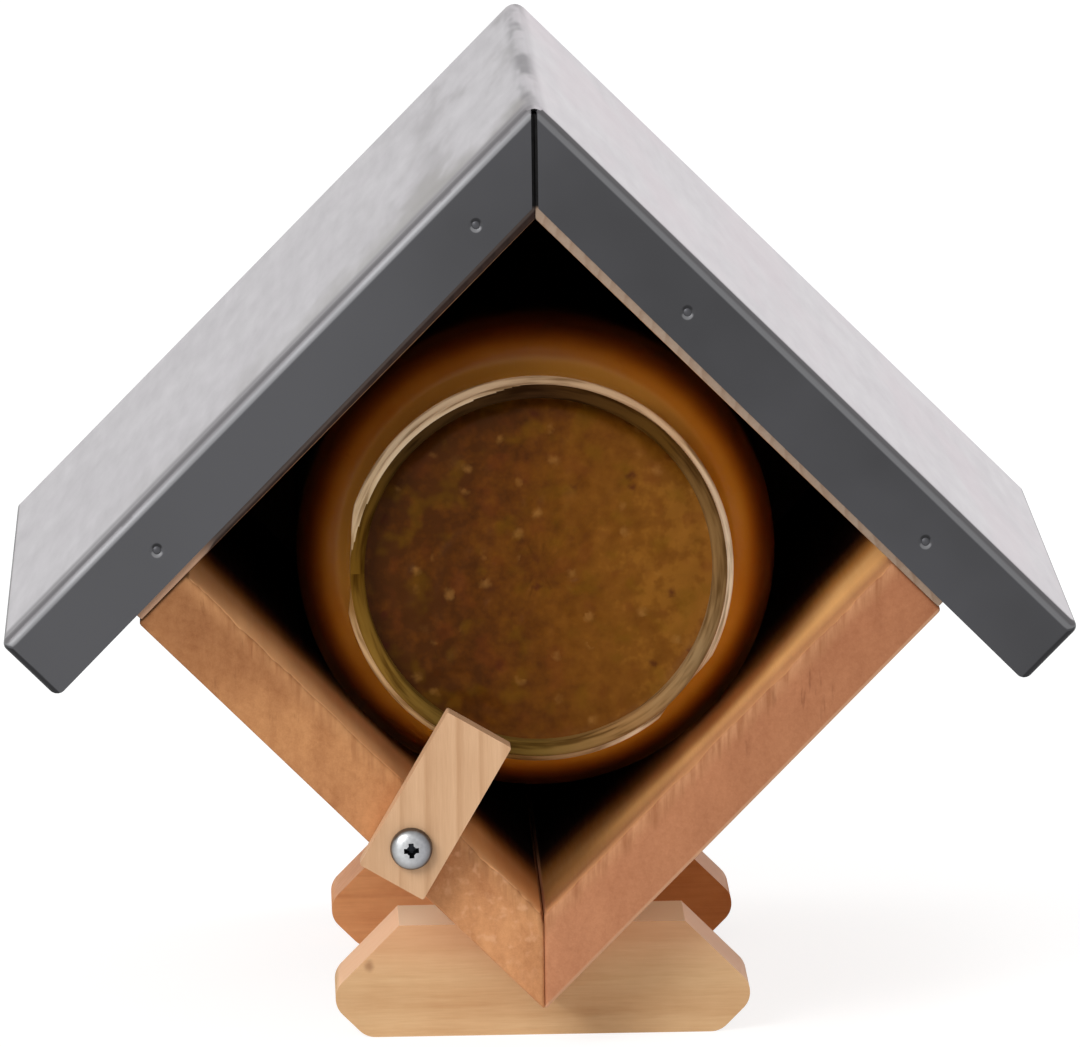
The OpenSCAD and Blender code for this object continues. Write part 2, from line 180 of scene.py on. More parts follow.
# %% Fields
class Field:
    """A number, a place or a colour that changes over the surface of a piece."""

    def __init__(self, tree, output):
        self.tree = tree
        self.output = output

    def beside(self, name):
        """Another output of the same node."""
        return Field(self.tree, self.output.node.outputs[name])

    def maths(self, operation, *others, output=0):
        """One step of arithmetic, on a number or on the three parts of a place."""
        is_place = self.output.type == "VECTOR" or any(
            isinstance(other, tuple) for other in others)
        return add(self.tree, "VectorMath" if is_place else "Math",
                   dict(enumerate((self, *others))), output, operation=operation)

    def __add__(self, other):
        return self.maths("ADD", other)

    def __sub__(self, other):
        return self.maths("SUBTRACT", other)

    def __mul__(self, other):
        return self.maths("MULTIPLY", other)

    def __truediv__(self, other):
        return self.maths("DIVIDE", other)

    def __abs__(self):
        return self.maths("ABSOLUTE")

    def length(self):
        """How far this place is from the origin."""
        return self.maths("LENGTH", output=1)

    def far_from(self, point):
        """How far this place is from a point."""
        return self.maths("DISTANCE", point, output=1)

    def part(self, name):
        return add(self.tree, "SeparateXYZ", {0: self}, name)

    @property
    def x(self):
        return self.part("X")

    @property
    def y(self):
        return self.part("Y")

    @property
    def z(self):
        return self.part("Z")

    def even(self, *ends, way="LINEAR"):
        """Goes steadily from 0 to 1 while this goes from the first end to the second."""
        names = ("From Min", "From Max", "To Min", "To Max")
        return add(self.tree, "MapRange", {"Value": self, **dict(zip(names, ends))},
                   "Result", interpolation_type=way)

    def eased(self, *ends):
        """The same with a soft start and end; two more ends stand for the 0 and the 1."""
        return self.even(*ends, way="SMOOTHSTEP")

    def speckle(self, scale, detail=2.0, roughness=0.5, output="Fac"):
        """Noise, the finer the larger its scale."""
        return add(
            self.tree, "TexNoise",
            {"Vector": self, "Scale": scale, "Detail": detail, "Roughness": roughness}, output)

    def ramp(self, *stops):
        """A run of colours; each stop is a place from 0 to 1 and its colour."""
        run = add(self.tree, "ValToRGB", {"Fac": self})
        marks = run.output.node.color_ramp.elements
        first, last = marks
        first.position, first.color = stops[0]
        last.position, last.color = stops[-1]
        for place, colour in stops[1:-1]:
            marks.new(place).color = colour
        return run

    def between(self, first, second, way="MIX"):
        """The first colour where this is 0, and the second where it is 1."""
        return add(self.tree, "Mix", {0: self, 6: first, 7: second}, 2,
                   data_type="RGBA", blend_type=way)

    def layered(self, *layers):
        """This colour with more tones laid over it, each with its share."""
        colour = self
        for share, tone in layers:
            colour = share.between(colour, tone)
        return colour

    def shaded(self, shade):
        """This colour, darkened and tinted by another one."""
        return add(self.tree, "Mix", {0: 1.0, 6: self, 7: shade}, 2,
                   data_type="RGBA", blend_type="MULTIPLY")

# %% A new finish
class Finish:
    """A new material, with the place and the facing of each point as fields."""

    def __init__(self, name):
        self.material = bpy.data.materials.new(name)
        self.material.use_nodes = True
        self.tree = self.material.node_tree
        self.at = add(self.tree, "TexCoord", output="Object")
        self.facing = self.at.beside("Normal")

    def put(self, sockets):
        """Fills sockets of the shader itself."""
        fill(self.tree, self.tree.nodes["Principled BSDF"], sockets)

    def relief(self, height, strength, depth):
        """Fine relief that only shows in the light."""
        self.put({"Normal": add(self.tree, "Bump", {"Height": height, "Strength": strength,
                                                    "Distance": depth})})

# %% [markdown]
# ## Floor and light
#
# The photograph is cut out on white. The floor is one wide pale plane. What
# the camera, a mirror-like surface or glass sees of it is mostly plain white
# with a little of the lit floor added, so it keeps a soft shadow under the
# feeder. The world is white to the same rays, and a calm grey to all the
# others, so it lights the object without washing it out.

# %% Light seen and light given
def white_to_eyes(tree):
    """1 for rays that show a background: straight, reflected or through glass."""
    straight = add(tree, "LightPath", output="Is Camera Ray")
    mirrored = straight.beside("Is Glossy Ray")
    through = straight.beside("Is Transmission Ray")
    return straight.maths("MAXIMUM", mirrored.maths("MAXIMUM", through))


sky_level = 0.52

world = bpy.data.worlds.new("studio")
bpy.context.scene.world = world
world.use_nodes = True
sky = world.node_tree
sky.nodes.clear()
lit = add(sky, "Background", {"Color": white, "Strength": sky_level})
shown = add(sky, "Background", {"Color": white, "Strength": 1.0})
both = add(sky, "MixShader", {0: white_to_eyes(sky), 1: lit, 2: shown})
add(sky, "OutputWorld", {"Surface": both})
bpy.context.scene.view_settings.view_transform = "Standard"

# %% The floor
floor_half = 12.0
floor_grey = (0.86, 0.86, 0.86, 1.0)
plain_share = 0.82
shadow_grey = (0.30, 0.30, 0.30, 1.0)


def placed(name, bm):
    """Makes a bmesh an object of the scene."""
    mesh = bpy.data.meshes.new(name)
    bm.to_mesh(mesh)
    bm.free()
    made = bpy.data.objects.new(name, mesh)
    bpy.context.scene.collection.objects.link(made)
    return made


bm = bmesh.new()
bmesh.ops.create_grid(bm, x_segments=1, y_segments=1, size=floor_half)
floor = placed("floor", bm)
floor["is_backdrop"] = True

floor_finish = bpy.data.materials.new("pale_floor")
floor_finish.use_nodes = True
tree = floor_finish.node_tree
tree.nodes.clear()
real = add(tree, "BsdfDiffuse", {"Color": floor_grey})
faint = add(tree, "BsdfDiffuse", {"Color": shadow_grey})
plain = add(tree, "Emission", {"Color": white, "Strength": plain_share})
shown = add(tree, "AddShader", {0: plain, 1: faint})
chosen = add(tree, "MixShader", {0: white_to_eyes(tree), 1: real, 2: shown})
add(tree, "OutputMaterial", {"Surface": chosen})
floor.data.materials.append(floor_finish)

# %% The lamps
def soft_lamp(name, at, level, size):
    """A square area lamp that adds level to a surface that faces it squarely."""
    lamp = bpy.data.lights.new(name, "AREA")
    lamp.size = size
    way = camera_aim - Vector(at)
    lamp.energy = level * math.pi ** 2 * way.length_squared
    holder = bpy.data.objects.new(name, lamp)
    holder.location = at
    holder.rotation_mode = "QUATERNION"
    holder.rotation_quaternion = way.to_track_quat("-Z", "Y")
    bpy.context.scene.collection.objects.link(holder)
    print(name, round(lamp.energy, 1), "W")


soft_lamp("key_lamp", (-1.3, -1.5, 1.35), 0.62, 1.2)
soft_lamp("top_lamp", (0.5, 0.5, 1.9), 0.22, 1.0)

# %% [markdown]
# ## Wood
#
# A plank is cut from a log, so its finish is made as a log too: rings round a
# heart that lies outside the plank, wavering a little, and fibres that run
# along the grain. Where a board is cut across, the same pattern shows the ends
# of the fibres, with no seam between the faces. Each board has its own heart,
# so no two look alike.

# %% Wood inside the house, painted with light and shade
no_depth = (1.0, 0.0, 1.0)


def indoors(finish, colour, near_colour, deep_colour, low_level=1.0):
    """Planed wood inside the house, painted with light and shade: a deeper tone lifted paler,
    darker low down by low_level, and brown, then black with the depth.
    """
    at, facing = finish.at, finish.facing
    flat = (at - (0.0, 0.0, middle_z)) * no_depth
    inward = flat.maths("DOT_PRODUCT", facing, output=1)
    on_wall = inward.eased(-0.80 * inner, -0.97 * inner)
    on_back = facing.y.eased(-0.3, -0.7) * at.y.eased(front_y + 60 * MM, front_y + 61 * MM)
    near = flat.length().eased(1.55 * inner, 1.45 * inner)
    share = on_wall.maths("MAXIMUM", on_back) * near
    fall = at.y.even(front_y, front_y + 50 * MM)
    # Painted light: the deeper tone is lifted paler, where little light reaches.
    bare_with_lift = fall.ramp((0.10, near_colour), (0.28, deep_colour))
    planed_with_painted_light = (share * 0.85).between(colour, bare_with_lift)
    # Painted shade low down, as deep as low_level.
    low = at.z.eased(cradle_low.z + 52 * MM, cradle_low.z + 24 * MM)
    low = low * at.y.eased(front_y, front_y + 6 * MM)
    dim = low.between(white, (low_level, 0.92 * low_level, 0.8 * low_level, 1.0))
    planed_with_painted_light = share.between(planed_with_painted_light, dim, "MULTIPLY")
    # Painted shade: brown and then black further into the house.
    light = fall.ramp((0.45, white), (0.62, (0.72, 0.55, 0.34, 1.0)),
                      (0.82, (0.22, 0.12, 0.05, 1.0)), (1.0, (0.035, 0.013, 0.004, 1.0)))
    return share.between(planed_with_painted_light, light, "MULTIPLY")

# %% Torn fibres
def torn_fibres(finish, colour, light_colour, dark_colour):
    """Upright streaks where the saw tore the fibres at the inner edge of an end."""
    at = finish.at
    across = (abs(at.x) - (at.z - middle_z)) / ROOT_2
    streak = (at * (1.0, 0.12, 0.10)).speckle(620.0, 3.0, 0.6)
    uneven = (streak - 0.5) * (5 * MM) + across
    zone = uneven.eased(inner + 3.4 * MM, inner + 0.8 * MM)
    zone = zone * at.y.eased(front_y + 14 * MM, front_y + 4 * MM)
    tone = streak.ramp((0.36, dark_colour), (0.62, light_colour))
    return (zone * 0.6).between(colour, tone)

# %% Rings and saw scores
across_grain = {"X": (0, 1, 1), "Y": (1, 0, 1), "Z": (1, 1, 0)}
half = (0.5, 0.5, 0.5)


def year_rings(finish, fibre_at, mask, heart, ring_gap):
    """0 where a ring starts, rising to 1 in its late wood."""
    shift = (fibre_at.speckle(55.0, output="Color") - half) * (7 * MM, 7 * MM, 7 * MM)
    distance = ((finish.at - heart + shift) * mask).length()
    ring = (distance / ring_gap).maths("FRACT")
    return ring.ramp((0.0, black), (0.55, (0.25, 0.25, 0.25, 1.0)), (0.88, white), (1.0, black))


def saw_scores(finish, at):
    """1 in the upright scores that a saw left in the upper part of an end."""
    is_end = abs(finish.facing.y).eased(0.6, 0.9)
    score = (at * (1.0, 1.0, 0.22)).speckle(520.0, 3.0, 0.65)
    where = finish.at.z.eased(cradle_low.z + 36 * MM, cradle_low.z + 50 * MM)
    where = where * at.speckle(60.0, 1.0).eased(0.45, 0.60)
    return score.eased(0.56, 0.74) * is_end * where

# %% A finish for wood
def wood(name, along, heart, ring_gap, pale, deep, rings=0.35, streaks=0.5,
         patches=0.5, mottle=0.0, mottle_squash=0.35, end_scores=0.0, seed=0.0,
         inside=None, extra=None):
    """Softwood with its fibres along one axis and its rings round heart.

    extra is one more step of colour, and inside the tones of the inner faces, which indoors
    paints with light and shade.
    """
    finish = Finish(name)
    at = finish.at + (seed, seed, seed)
    mask = across_grain[along]
    fibre_at = at * tuple(1.0 if share else 0.06 for share in mask)
    fibre = fibre_at.speckle(900.0, 3.0, 0.6)
    pore = fibre_at.speckle(3200.0, 2.0, 0.6)
    parts = [(fibre, streaks), (at.speckle(70.0, 3.0, 0.55), patches), (pore, 0.35)]
    if mottle:
        mottle_at = at * (1.0, 1.0, mottle_squash)
        parts.append((mottle_at.speckle(330.0, 3.0, 0.6), mottle))
    tone = year_rings(finish, fibre_at, mask, heart, ring_gap) * rings + 0.30
    for part, strength in parts:
        tone = (part - 0.5) * strength + tone
    colour = tone.ramp((0.0, pale), (1.0, deep))

    height = pore * 0.5 + fibre
    if end_scores:
        score = saw_scores(finish, at)
        colour = (score * end_scores).between(colour, seen(122, 68, 40))
        height = score * -1.5 + height
    if extra:
        colour = extra(finish, colour)
    if inside:
        colour = indoors(finish, colour, *inside)
    finish.put({"Base Color": colour, "Roughness": fibre.eased(0.3, 0.7, 0.62, 0.78),
                "Specular IOR Level": 0.18})
    finish.relief(height, 0.45, 0.12 * MM)
    return finish.material


def heart_at(x, z):
    """The heart of a log that lies along the house, in millimetres from its middle."""
    return (x * MM, 0.0, middle_z + z * MM)

# %% [markdown]
# ## Modelling steps
#
# New pieces start as an outline that is pulled out to a bar, or as half a
# section that is spun round an axis. Both are short operators. Each finished
# piece keeps its object at the origin with its place in its mesh, hangs from an
# empty for the moving body it rides on, and hides the part of the drawing it
# stands for.

# %% Bars and cuts
def bar(outline, y0, y1):
    """A bar along Y whose section is the outline in X and Z."""
    bm = bmesh.new()
    front = bm.faces.new([bm.verts.new((x, y0, z)) for x, z in outline])
    pulled = bmesh.ops.extrude_face_region(bm, geom=[front])
    moved = [part for part in pulled["geom"] if isinstance(part, bmesh.types.BMVert)]
    bmesh.ops.translate(bm, verts=moved, vec=(0, y1 - y0, 0))
    bmesh.ops.recalc_face_normals(bm, faces=bm.faces)
    return bm


def round_edges(bm, radius, segments=2):
    """Takes the sharpness off every edge."""
    bmesh.ops.bevel(bm, geom=bm.edges[:], offset=radius, segments=segments,
                    profile=0.5, affect="EDGES", material=-1, clamp_overlap=True)


def cut_across(bm, at, normal):
    """Adds a row of edges where a plane crosses the mesh, and changes no shape."""
    everything = bm.verts[:] + bm.edges[:] + bm.faces[:]
    bmesh.ops.bisect_plane(bm, geom=everything, dist=HAIR / 10, plane_co=at, plane_no=normal)


def slice_at(bm, axis, place):
    """The same at one place on an axis."""
    normal = Vector([float(name == axis) for name in "XYZ"])
    cut_across(bm, normal * place, normal)


def drop_faces(bm, faces, is_waste):
    """Deletes the faces whose middle is waste, and tells how many."""
    waste = [face for face in faces if is_waste(face.calc_center_median())]
    bmesh.ops.delete(bm, geom=waste, context="FACES")
    return len(waste)

# %% Spun bodies
def spun(profile, steps, to_place=Matrix.Identity(4)):
    """A closed body from half its section, as (radius, height) points, spun round Z."""
    bm = bmesh.new()
    points = [bm.verts.new((radius, 0, height)) for radius, height in profile]
    edges = [bm.edges.new(pair) for pair in zip(points, points[1:])]
    bmesh.ops.spin(bm, geom=points + edges, cent=(0, 0, 0), axis=(0, 0, 1),
                   angle=2 * math.pi, steps=steps, use_merge=True)
    bmesh.ops.remove_doubles(bm, verts=bm.verts, dist=HAIR)
    bmesh.ops.recalc_face_normals(bm, faces=bm.faces)
    bmesh.ops.transform(bm, matrix=to_place, verts=bm.verts)
    return bm


def quarter(centre, radius, start, end, steps):
    """Points on an arc, with its start and end in degrees."""
    turns = [math.radians(start + (end - start) * step / steps) for step in range(steps + 1)]
    return [(centre[0] + radius * math.cos(turn), centre[1] + radius * math.sin(turn))
            for turn in turns]

# %% Finished pieces
def put_in_place(bm, to_place):
    """Turns a finished mesh into its place, and all its faces outwards."""
    bmesh.ops.transform(bm, matrix=to_place, verts=bm.verts)
    bmesh.ops.recalc_face_normals(bm, faces=bm.faces)


def settled(part):
    """An object's mesh with its modifiers applied; the object itself goes."""
    bpy.context.view_layer.update()
    ready = bpy.context.evaluated_depsgraph_get()
    mesh = bpy.data.meshes.new_from_object(part.evaluated_get(ready))
    bm = bmesh.new()
    bm.from_mesh(mesh)
    bpy.data.objects.remove(part)
    bpy.data.meshes.remove(mesh)
    return bm


def finish_piece(name, bm, material, body, slot, *nodes, sharp=35):
    """Makes the object, gives it its finish, hangs it from its body's empty and hides the drawn
    parts.
    """
    made = placed(name, bm)
    made.data.shade_smooth()
    made.data.set_sharp_from_angle(angle=math.radians(sharp))
    made.data.materials.append(material)
    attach(made, body)
    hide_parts(*nodes)
    print(name, "faces:", len(made.data.polygons))
    return made


def dress_node(name, material, easing=0.0, segments=2):
    """Gives a part of the drawing its finish, and takes its sharp edges off."""
    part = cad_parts[name]
    part.data.materials.clear()
    part.data.materials.append(material)
    if easing:
        weld = part.modifiers.new("weld", "WELD")
        weld.merge_threshold = HAIR
        bevel = part.modifiers.new("easing", "BEVEL")
        bevel.width = easing
        bevel.segments = segments
        bevel.limit_method = "ANGLE"
        bevel.angle_limit = math.radians(40)
        bevel.harden_normals = True
    print(name, "keeps its drawn shape")

# %% [markdown]
# ## The zinc roof
#
# The real roof is one blank of thin sheet: bent at the ridge, and with its
# rim folded down over the boards on all sides. Here a box gets a weighted
# Bevel, so that each bend has its own radius and the corners close by
# themselves. Then everything but the two slopes and the folded rim is cut
# away, and the shell gets the thickness of the sheet. Pins pull the rim in a
# little, which shows as a dimple round each one.

# %% The two slopes of the sheet
def zinc_slope(at, spots, on_left):
    """Pale at the right; dull, worn and stained at the left, with a dark band behind the front
    fold; scuffed along the ridge, whose bend is painted darker as shade.
    """
    side, depth, high = at.x, at.y, at.z
    long_at = at * (1.0, 0.2, 1.0)
    plain = spots.ramp((0.25, seen(203, 198, 202)), (0.75, seen(215, 211, 214)))
    dull = spots.ramp((0.25, seen(173, 170, 173)), (0.75, seen(188, 185, 188)))
    blush = long_at.speckle(70.0).eased(0.40, 0.66, 0.0, 0.5)
    slope = on_left.between(blush.between(plain, seen(214, 203, 208)), dull)

    smudges = (at * (1.0, 0.25, 1.0)).speckle(78.0, 3.0, 0.6)
    near_ridge = high.eased(sheet_high.z - 40 * MM, sheet_high.z)
    worn = smudges.eased(0.46, 0.66) * near_ridge * on_left
    near_fold = (smudges - 0.5) * (-70 * MM) + depth
    near_fold = near_fold.eased(sheet_low.y + 34 * MM, sheet_low.y + 4 * MM)
    stained = near_fold * on_left * high.eased(sheet_high.z - 90 * MM, sheet_high.z - 5 * MM)
    band = depth.eased(sheet_low.y + 9.5 * MM, sheet_low.y + 4.5 * MM) * on_left
    # Painted shade on the bend of the ridge.
    bent = abs(side).eased(2.6 * MM, 0.8 * MM)
    scuffed = abs(side + 0.5 * MM).eased(2.4 * MM, 0.4 * MM)
    scuffed = long_at.speckle(190.0).eased(0.46, 0.62) * scuffed
    return slope.layered(
        (worn * 0.65, seen(138, 134, 135)), (stained, seen(143, 139, 137)),
        (band * 0.9, seen(112, 109, 112)), (bent * 0.45, seen(150, 146, 150)),
        (scuffed * 0.8, seen(104, 101, 104)))

# %% The whole sheet
def zinc(name):
    """Weathered zinc with painted light: pale slopes, rims painted dark as a dark reflection,
    and a painted highlight and dark line on each bend.
    """
    finish = Finish(name)
    side, up = finish.at.x, finish.facing.z
    spots = (finish.at * (1.0, 0.2, 1.0)).speckle(300.0, 3.0, 0.55)
    clouds = finish.at.speckle(26.0, 3.0, 0.6)
    on_left = side.eased(1.5 * MM, -2.5 * MM)
    # Painted dark reflection on the rims, paler towards the left as painted light.
    rim = clouds.ramp((0.3, seen(58, 58, 60)), (0.7, seen(71, 71, 74)))
    rim = side.eased(10 * MM, -40 * MM, 0.0, 0.6).between(rim, seen(88, 88, 91))
    # A painted highlight and a painted dark line for the bends, each paler at the left.
    fold_highlight = on_left.between(seen(112, 112, 114), seen(120, 120, 122))
    shade = on_left.between(seen(90, 88, 90), seen(106, 104, 106))
    # Painted by facing: painted shade on what faces down, then the bends' highlight and dark
    # line, then the slopes.
    colour = rim.layered(
        (up.eased(-0.06, -0.20), seen(36, 36, 38)), (up.eased(0.04, 0.16), fold_highlight),
        (up.eased(0.32, 0.42), shade),
        (up.eased(0.62, 0.69), zinc_slope(finish.at, spots, on_left)))
    finish.put({"Base Color": colour, "Metallic": 0.6,
                "Roughness": clouds.eased(0.3, 0.7, 0.42, 0.55)})
    finish.relief(spots, 0.12, 0.1 * MM)
    return finish.material


zinc_finish = zinc("weathered_zinc")

# %% A box whose edges are bent like sheet
flange_h = 13.0 * MM
flange_gain = 0.6 * MM
flange_end_r = 2.0 * MM
deep_h = flange_h + flange_gain
gain_slope = flange_gain / (sheet_out + eave_out - flange_h)
rim_y0, rim_y1 = sheet_low.y, sheet_high.y
box_size = Vector((sheet_out + eave_out, rim_y1 - rim_y0, sheet_out + eave_out))
box_middle = Vector(
    ((eave_out - sheet_out) / 2, (rim_y0 + rim_y1) / 2, (sheet_out - eave_out) / 2))


def bend_radius(edge):
    """The radius of each edge of the box; the far lower edges are cut off later."""
    where = (edge.verts[0].co + edge.verts[1].co) / 2
    on_left = where.x < -sheet_out + HAIR
    on_top = where.z > sheet_out - HAIR
    on_rim = where.y < rim_y0 + HAIR or where.y > rim_y1 - HAIR
    if on_left and on_top:
        return ridge_r
    if (on_left or on_top) and on_rim and abs(where.x) < eave_out / 2:
        return fold_r
    if on_left and on_rim and abs(where.z) < eave_out / 2:
        return fold_r
    return corner_r


bm = bmesh.new()
bmesh.ops.create_cube(bm, size=1.0)
bmesh.ops.scale(bm, vec=box_size, verts=bm.verts)
bmesh.ops.translate(bm, vec=box_middle, verts=bm.verts)
weight = bm.edges.layers.float.new("bevel_weight_edge")
for edge in bm.edges:
    edge[weight] = bend_radius(edge) / ridge_r
box_part = placed("folded_box", bm)
bends = box_part.modifiers.new("bends", "BEVEL")
bends.limit_method = "WEIGHT"
bends.width = ridge_r
bends.segments = 6

bm = settled(box_part)
print("bent box faces:", len(bm.faces))

# %% Cut the box down to two slopes and their folded rims
fold_at = Vector((-sheet_out + flange_h, 0, sheet_out - flange_h))
cut_across(bm, fold_at, (1, 0, gain_slope))
cut_across(bm, fold_at, (gain_slope, 0, 1))


def below_rims(centre):
    off = centre - fold_at
    return off.x + gain_slope * off.z > 0 and off.z + gain_slope * off.x < 0


print("faces below the rims:", drop_faces(bm, bm.faces, below_rims))

# %% Round the lower corners of the rims
def round_corner(bm, corner, radius, steps=5):
    """Rounds the lower outer corner of the rims, which lies at corner."""
    slice_at(bm, "X", corner.x - radius)
    slice_at(bm, "Z", corner.z + radius)
    middle = corner + Vector((-radius, 0, radius))
    for step in range(steps):
        turn = math.radians(-90 + 90 * (step + 0.5) / steps)
        out = Vector((math.cos(turn), 0, math.sin(turn)))
        touch = middle + out * radius
        near = []
        for face in bm.faces:
            off = face.calc_center_median() - middle
            if 0 < off.x < radius * 1.01 and -radius * 1.2 < off.z < 0:
                near.append(face)
        edges = {edge for face in near for edge in face.edges}
        points = {vertex for face in near for vertex in face.verts}
        cut = bmesh.ops.bisect_plane(bm, geom=near + list(edges) + list(points),
                                     dist=HAIR / 10, plane_co=touch, plane_no=out)
        faces = [part for part in cut["geom"] if isinstance(part, bmesh.types.BMFace)]
        drop_faces(bm, faces, lambda centre: (centre - touch).dot(out) > HAIR / 10)


round_corner(bm, Vector((eave_out, 0, sheet_out - deep_h)), flange_end_r)
round_corner(bm, Vector((-sheet_out + deep_h, 0, -eave_out)), flange_end_r)

# %% Fine rows of edges where the pins will press
pin_drop = 8 * MM
pins_right = (45 * MM, 103 * MM)
pins_left = (22.6 * MM, 102 * MM)
dimple_r = 1.4 * MM
dimple_d = 0.35 * MM
dimple_rows = 6

pin_spots = [Vector((pin - sheet_out, sheet_out - pin_drop)) for pin in pins_right]
pin_spots += [Vector((pin_drop - sheet_out, sheet_out - pin)) for pin in pins_left]
for row in range(-dimple_rows, dimple_rows + 1):
    off = dimple_r * row / dimple_rows
    slice_at(bm, "X", -sheet_out + pin_drop + off)
    slice_at(bm, "Z", sheet_out - pin_drop + off)
    for pin in pins_right:
        slice_at(bm, "X", pin - sheet_out + off)
    for pin in pins_left:
        slice_at(bm, "Z", sheet_out - pin + off)

# %% The slits of the rims at the ridge
slit_w = 1.1 * MM

for side in (-1, 1):
    off = side * slit_w / 2 / ROOT_2
    cut_across(bm, (off, 0, off), (1, 0, 1))
for y in (rim_y0 + sheet_t, rim_y1 - sheet_t):
    slice_at(bm, "Y", y)


def in_slit(centre):
    at_rim = centre.y < rim_y0 + sheet_t or centre.y > rim_y1 - sheet_t
    return at_rim and abs(centre.x + centre.z) / ROOT_2 < slit_w / 2


print("slit faces removed:", drop_faces(bm, bm.faces, in_slit), "left:", len(bm.faces))

# %% Press the pins in, and give the sheet its thickness
for vertex in bm.verts:
    if rim_y0 + 10 * HAIR < vertex.co.y < rim_y1 - 10 * HAIR:
        continue
    spot = Vector((vertex.co.x, vertex.co.z))
    for pin in pin_spots:
        share = 1 - (spot - pin).length / dimple_r
        if share > 0:
            inward = 1 if vertex.co.y < 0 else -1
            vertex.co.y += inward * dimple_d * share * share * (3 - 2 * share)

bmesh.ops.solidify(bm, geom=bm.faces[:], thickness=sheet_t)
put_in_place(bm, to_right)
roof = finish_piece("zinc_roof", bm, zinc_finish, "house", "zinc_sheet", "roof_sheet", sharp=50)
level = roof.modifiers.new("level", "WEIGHTED_NORMAL")
level.keep_sharp = True

# %% [markdown]
# ## Roof boards and back board
#
# The roof boards are a little thinner outside the cradle boards, where the
# sheet's rim hides them. The back board keeps its drawn shape. All three get
# wood and slightly eased edges.

# %% Dress the boards
slit_end_z = middle_z + (sheet_out - flange_h) * ROOT_2
# Painted shadow for the wood seen through the slit.
slit_shadow = seen(16, 15, 15)
# The grey tone is the tan of the end, painted in shade.
tan_in_painted_shade, tan_end = seen(92, 80, 74), seen(178, 140, 114)


def dark_slit(finish, colour):
    """The wood that shows through the slit of the sheet is painted dark, as deep shadow."""
    close = abs(finish.at.x).eased(1.4 * MM, 0.9 * MM)
    high = finish.at.z.eased(slit_end_z - 0.8 * MM, slit_end_z)
    return (close * high).between(colour, slit_shadow)


def left_board_end_tan_and_shade(finish, colour):
    """The left board's front end: tan at the eave, then the same tan painted grey as shade, and
    the board's painted dark below.
    """
    side = finish.at.x
    across = (finish.at.z - middle_z - side) / ROOT_2
    at_eave = side.eased(-56 * MM, -60 * MM)
    edge = side.eased(-50 * MM, -8 * MM, inner + 0.6 * MM, inner + 1.1 * MM)
    edge = at_eave * (-1.5 * MM) + edge
    lit = (across - edge).eased(-0.2 * MM, 0.2 * MM) * finish.facing.y.eased(-0.6, -0.8)
    return dark_slit(finish, lit.between(colour, at_eave.between(tan_in_painted_shade, tan_end)))


# Inner tones: planed wood near the front, and a deeper tone lifted paler as painted light.
bare_wood_and_lift = (seen(206, 152, 108), seen(226, 168, 104))
# One wood painted as two copies: the left board painted dark as shade, the right one pale and
# pink as a lit front strip.
roof_wood_left_shaded = wood(
    "roof_wood_left_shaded", "Y", heart_at(-150, 60), 2.6 * MM, seen(52, 34, 26), seen(24, 15, 12),
    inside=bare_wood_and_lift, extra=left_board_end_tan_and_shade, seed=0.3)
roof_wood_right_lit = wood(
    "roof_wood_right_lit", "Y", heart_at(150, 20), 2.6 * MM, seen(166, 146, 128),
    seen(130, 102, 80), inside=bare_wood_and_lift, extra=dark_slit, seed=0.9)
back_wood = wood(
    "back_wood", "Z", (0.16, 0.22, 0.0), 3.1 * MM, seen(208, 150, 106), seen(164, 106, 70),
    rings=0.4, inside=bare_wood_and_lift, seed=1.7)
dress_node("back_board", back_wood, 0.5 * MM)

# %% The two roof boards
board_low, board_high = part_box("roof_board_right")
board_out = (board_high.z - middle_z) / ROOT_2
board_end = eave_out - sheet_t
board_arris_r = 0.3 * MM
step_at = cradle_out - 0.9 * MM
step_h = 1.7 * MM


def roof_board(side, to_place, material):
    """A board with a mitre at the ridge, and a shallow step outside the cradle."""
    section = (
        (-board_out, board_out), (-inner, inner), (step_at, inner), (step_at, inner + step_h),
        (board_end, inner + step_h), (board_end, board_out))
    bm = bar(section, board_low.y, board_high.y)
    round_edges(bm, board_arris_r)
    put_in_place(bm, to_place)
    finish_piece("roof_plank_" + side, bm, material, "house", "roof_wood", "roof_board_" + side)


roof_board("left", to_left, roof_wood_left_shaded)
roof_board("right", to_right, roof_wood_right_lit)

# %% [markdown]
# ## Cradle boards
#
# Their front ends are sawn across the grain. The saw tears small chips out of
# the edge between the end and the inside of the board, which gives that edge
# its ragged line. The bar is cut into narrow strips first, so that each chip
# is a small shape of its own, and then the edge is pushed back by noise.

# %% A board with a torn front edge
torn_step = 0.5 * MM
torn_depth = 1.0 * MM
chip_w, chip_len = 2.6 * MM, 2.8 * MM
arris_r = 0.7 * MM
torn_r = 1.01 * arris_r


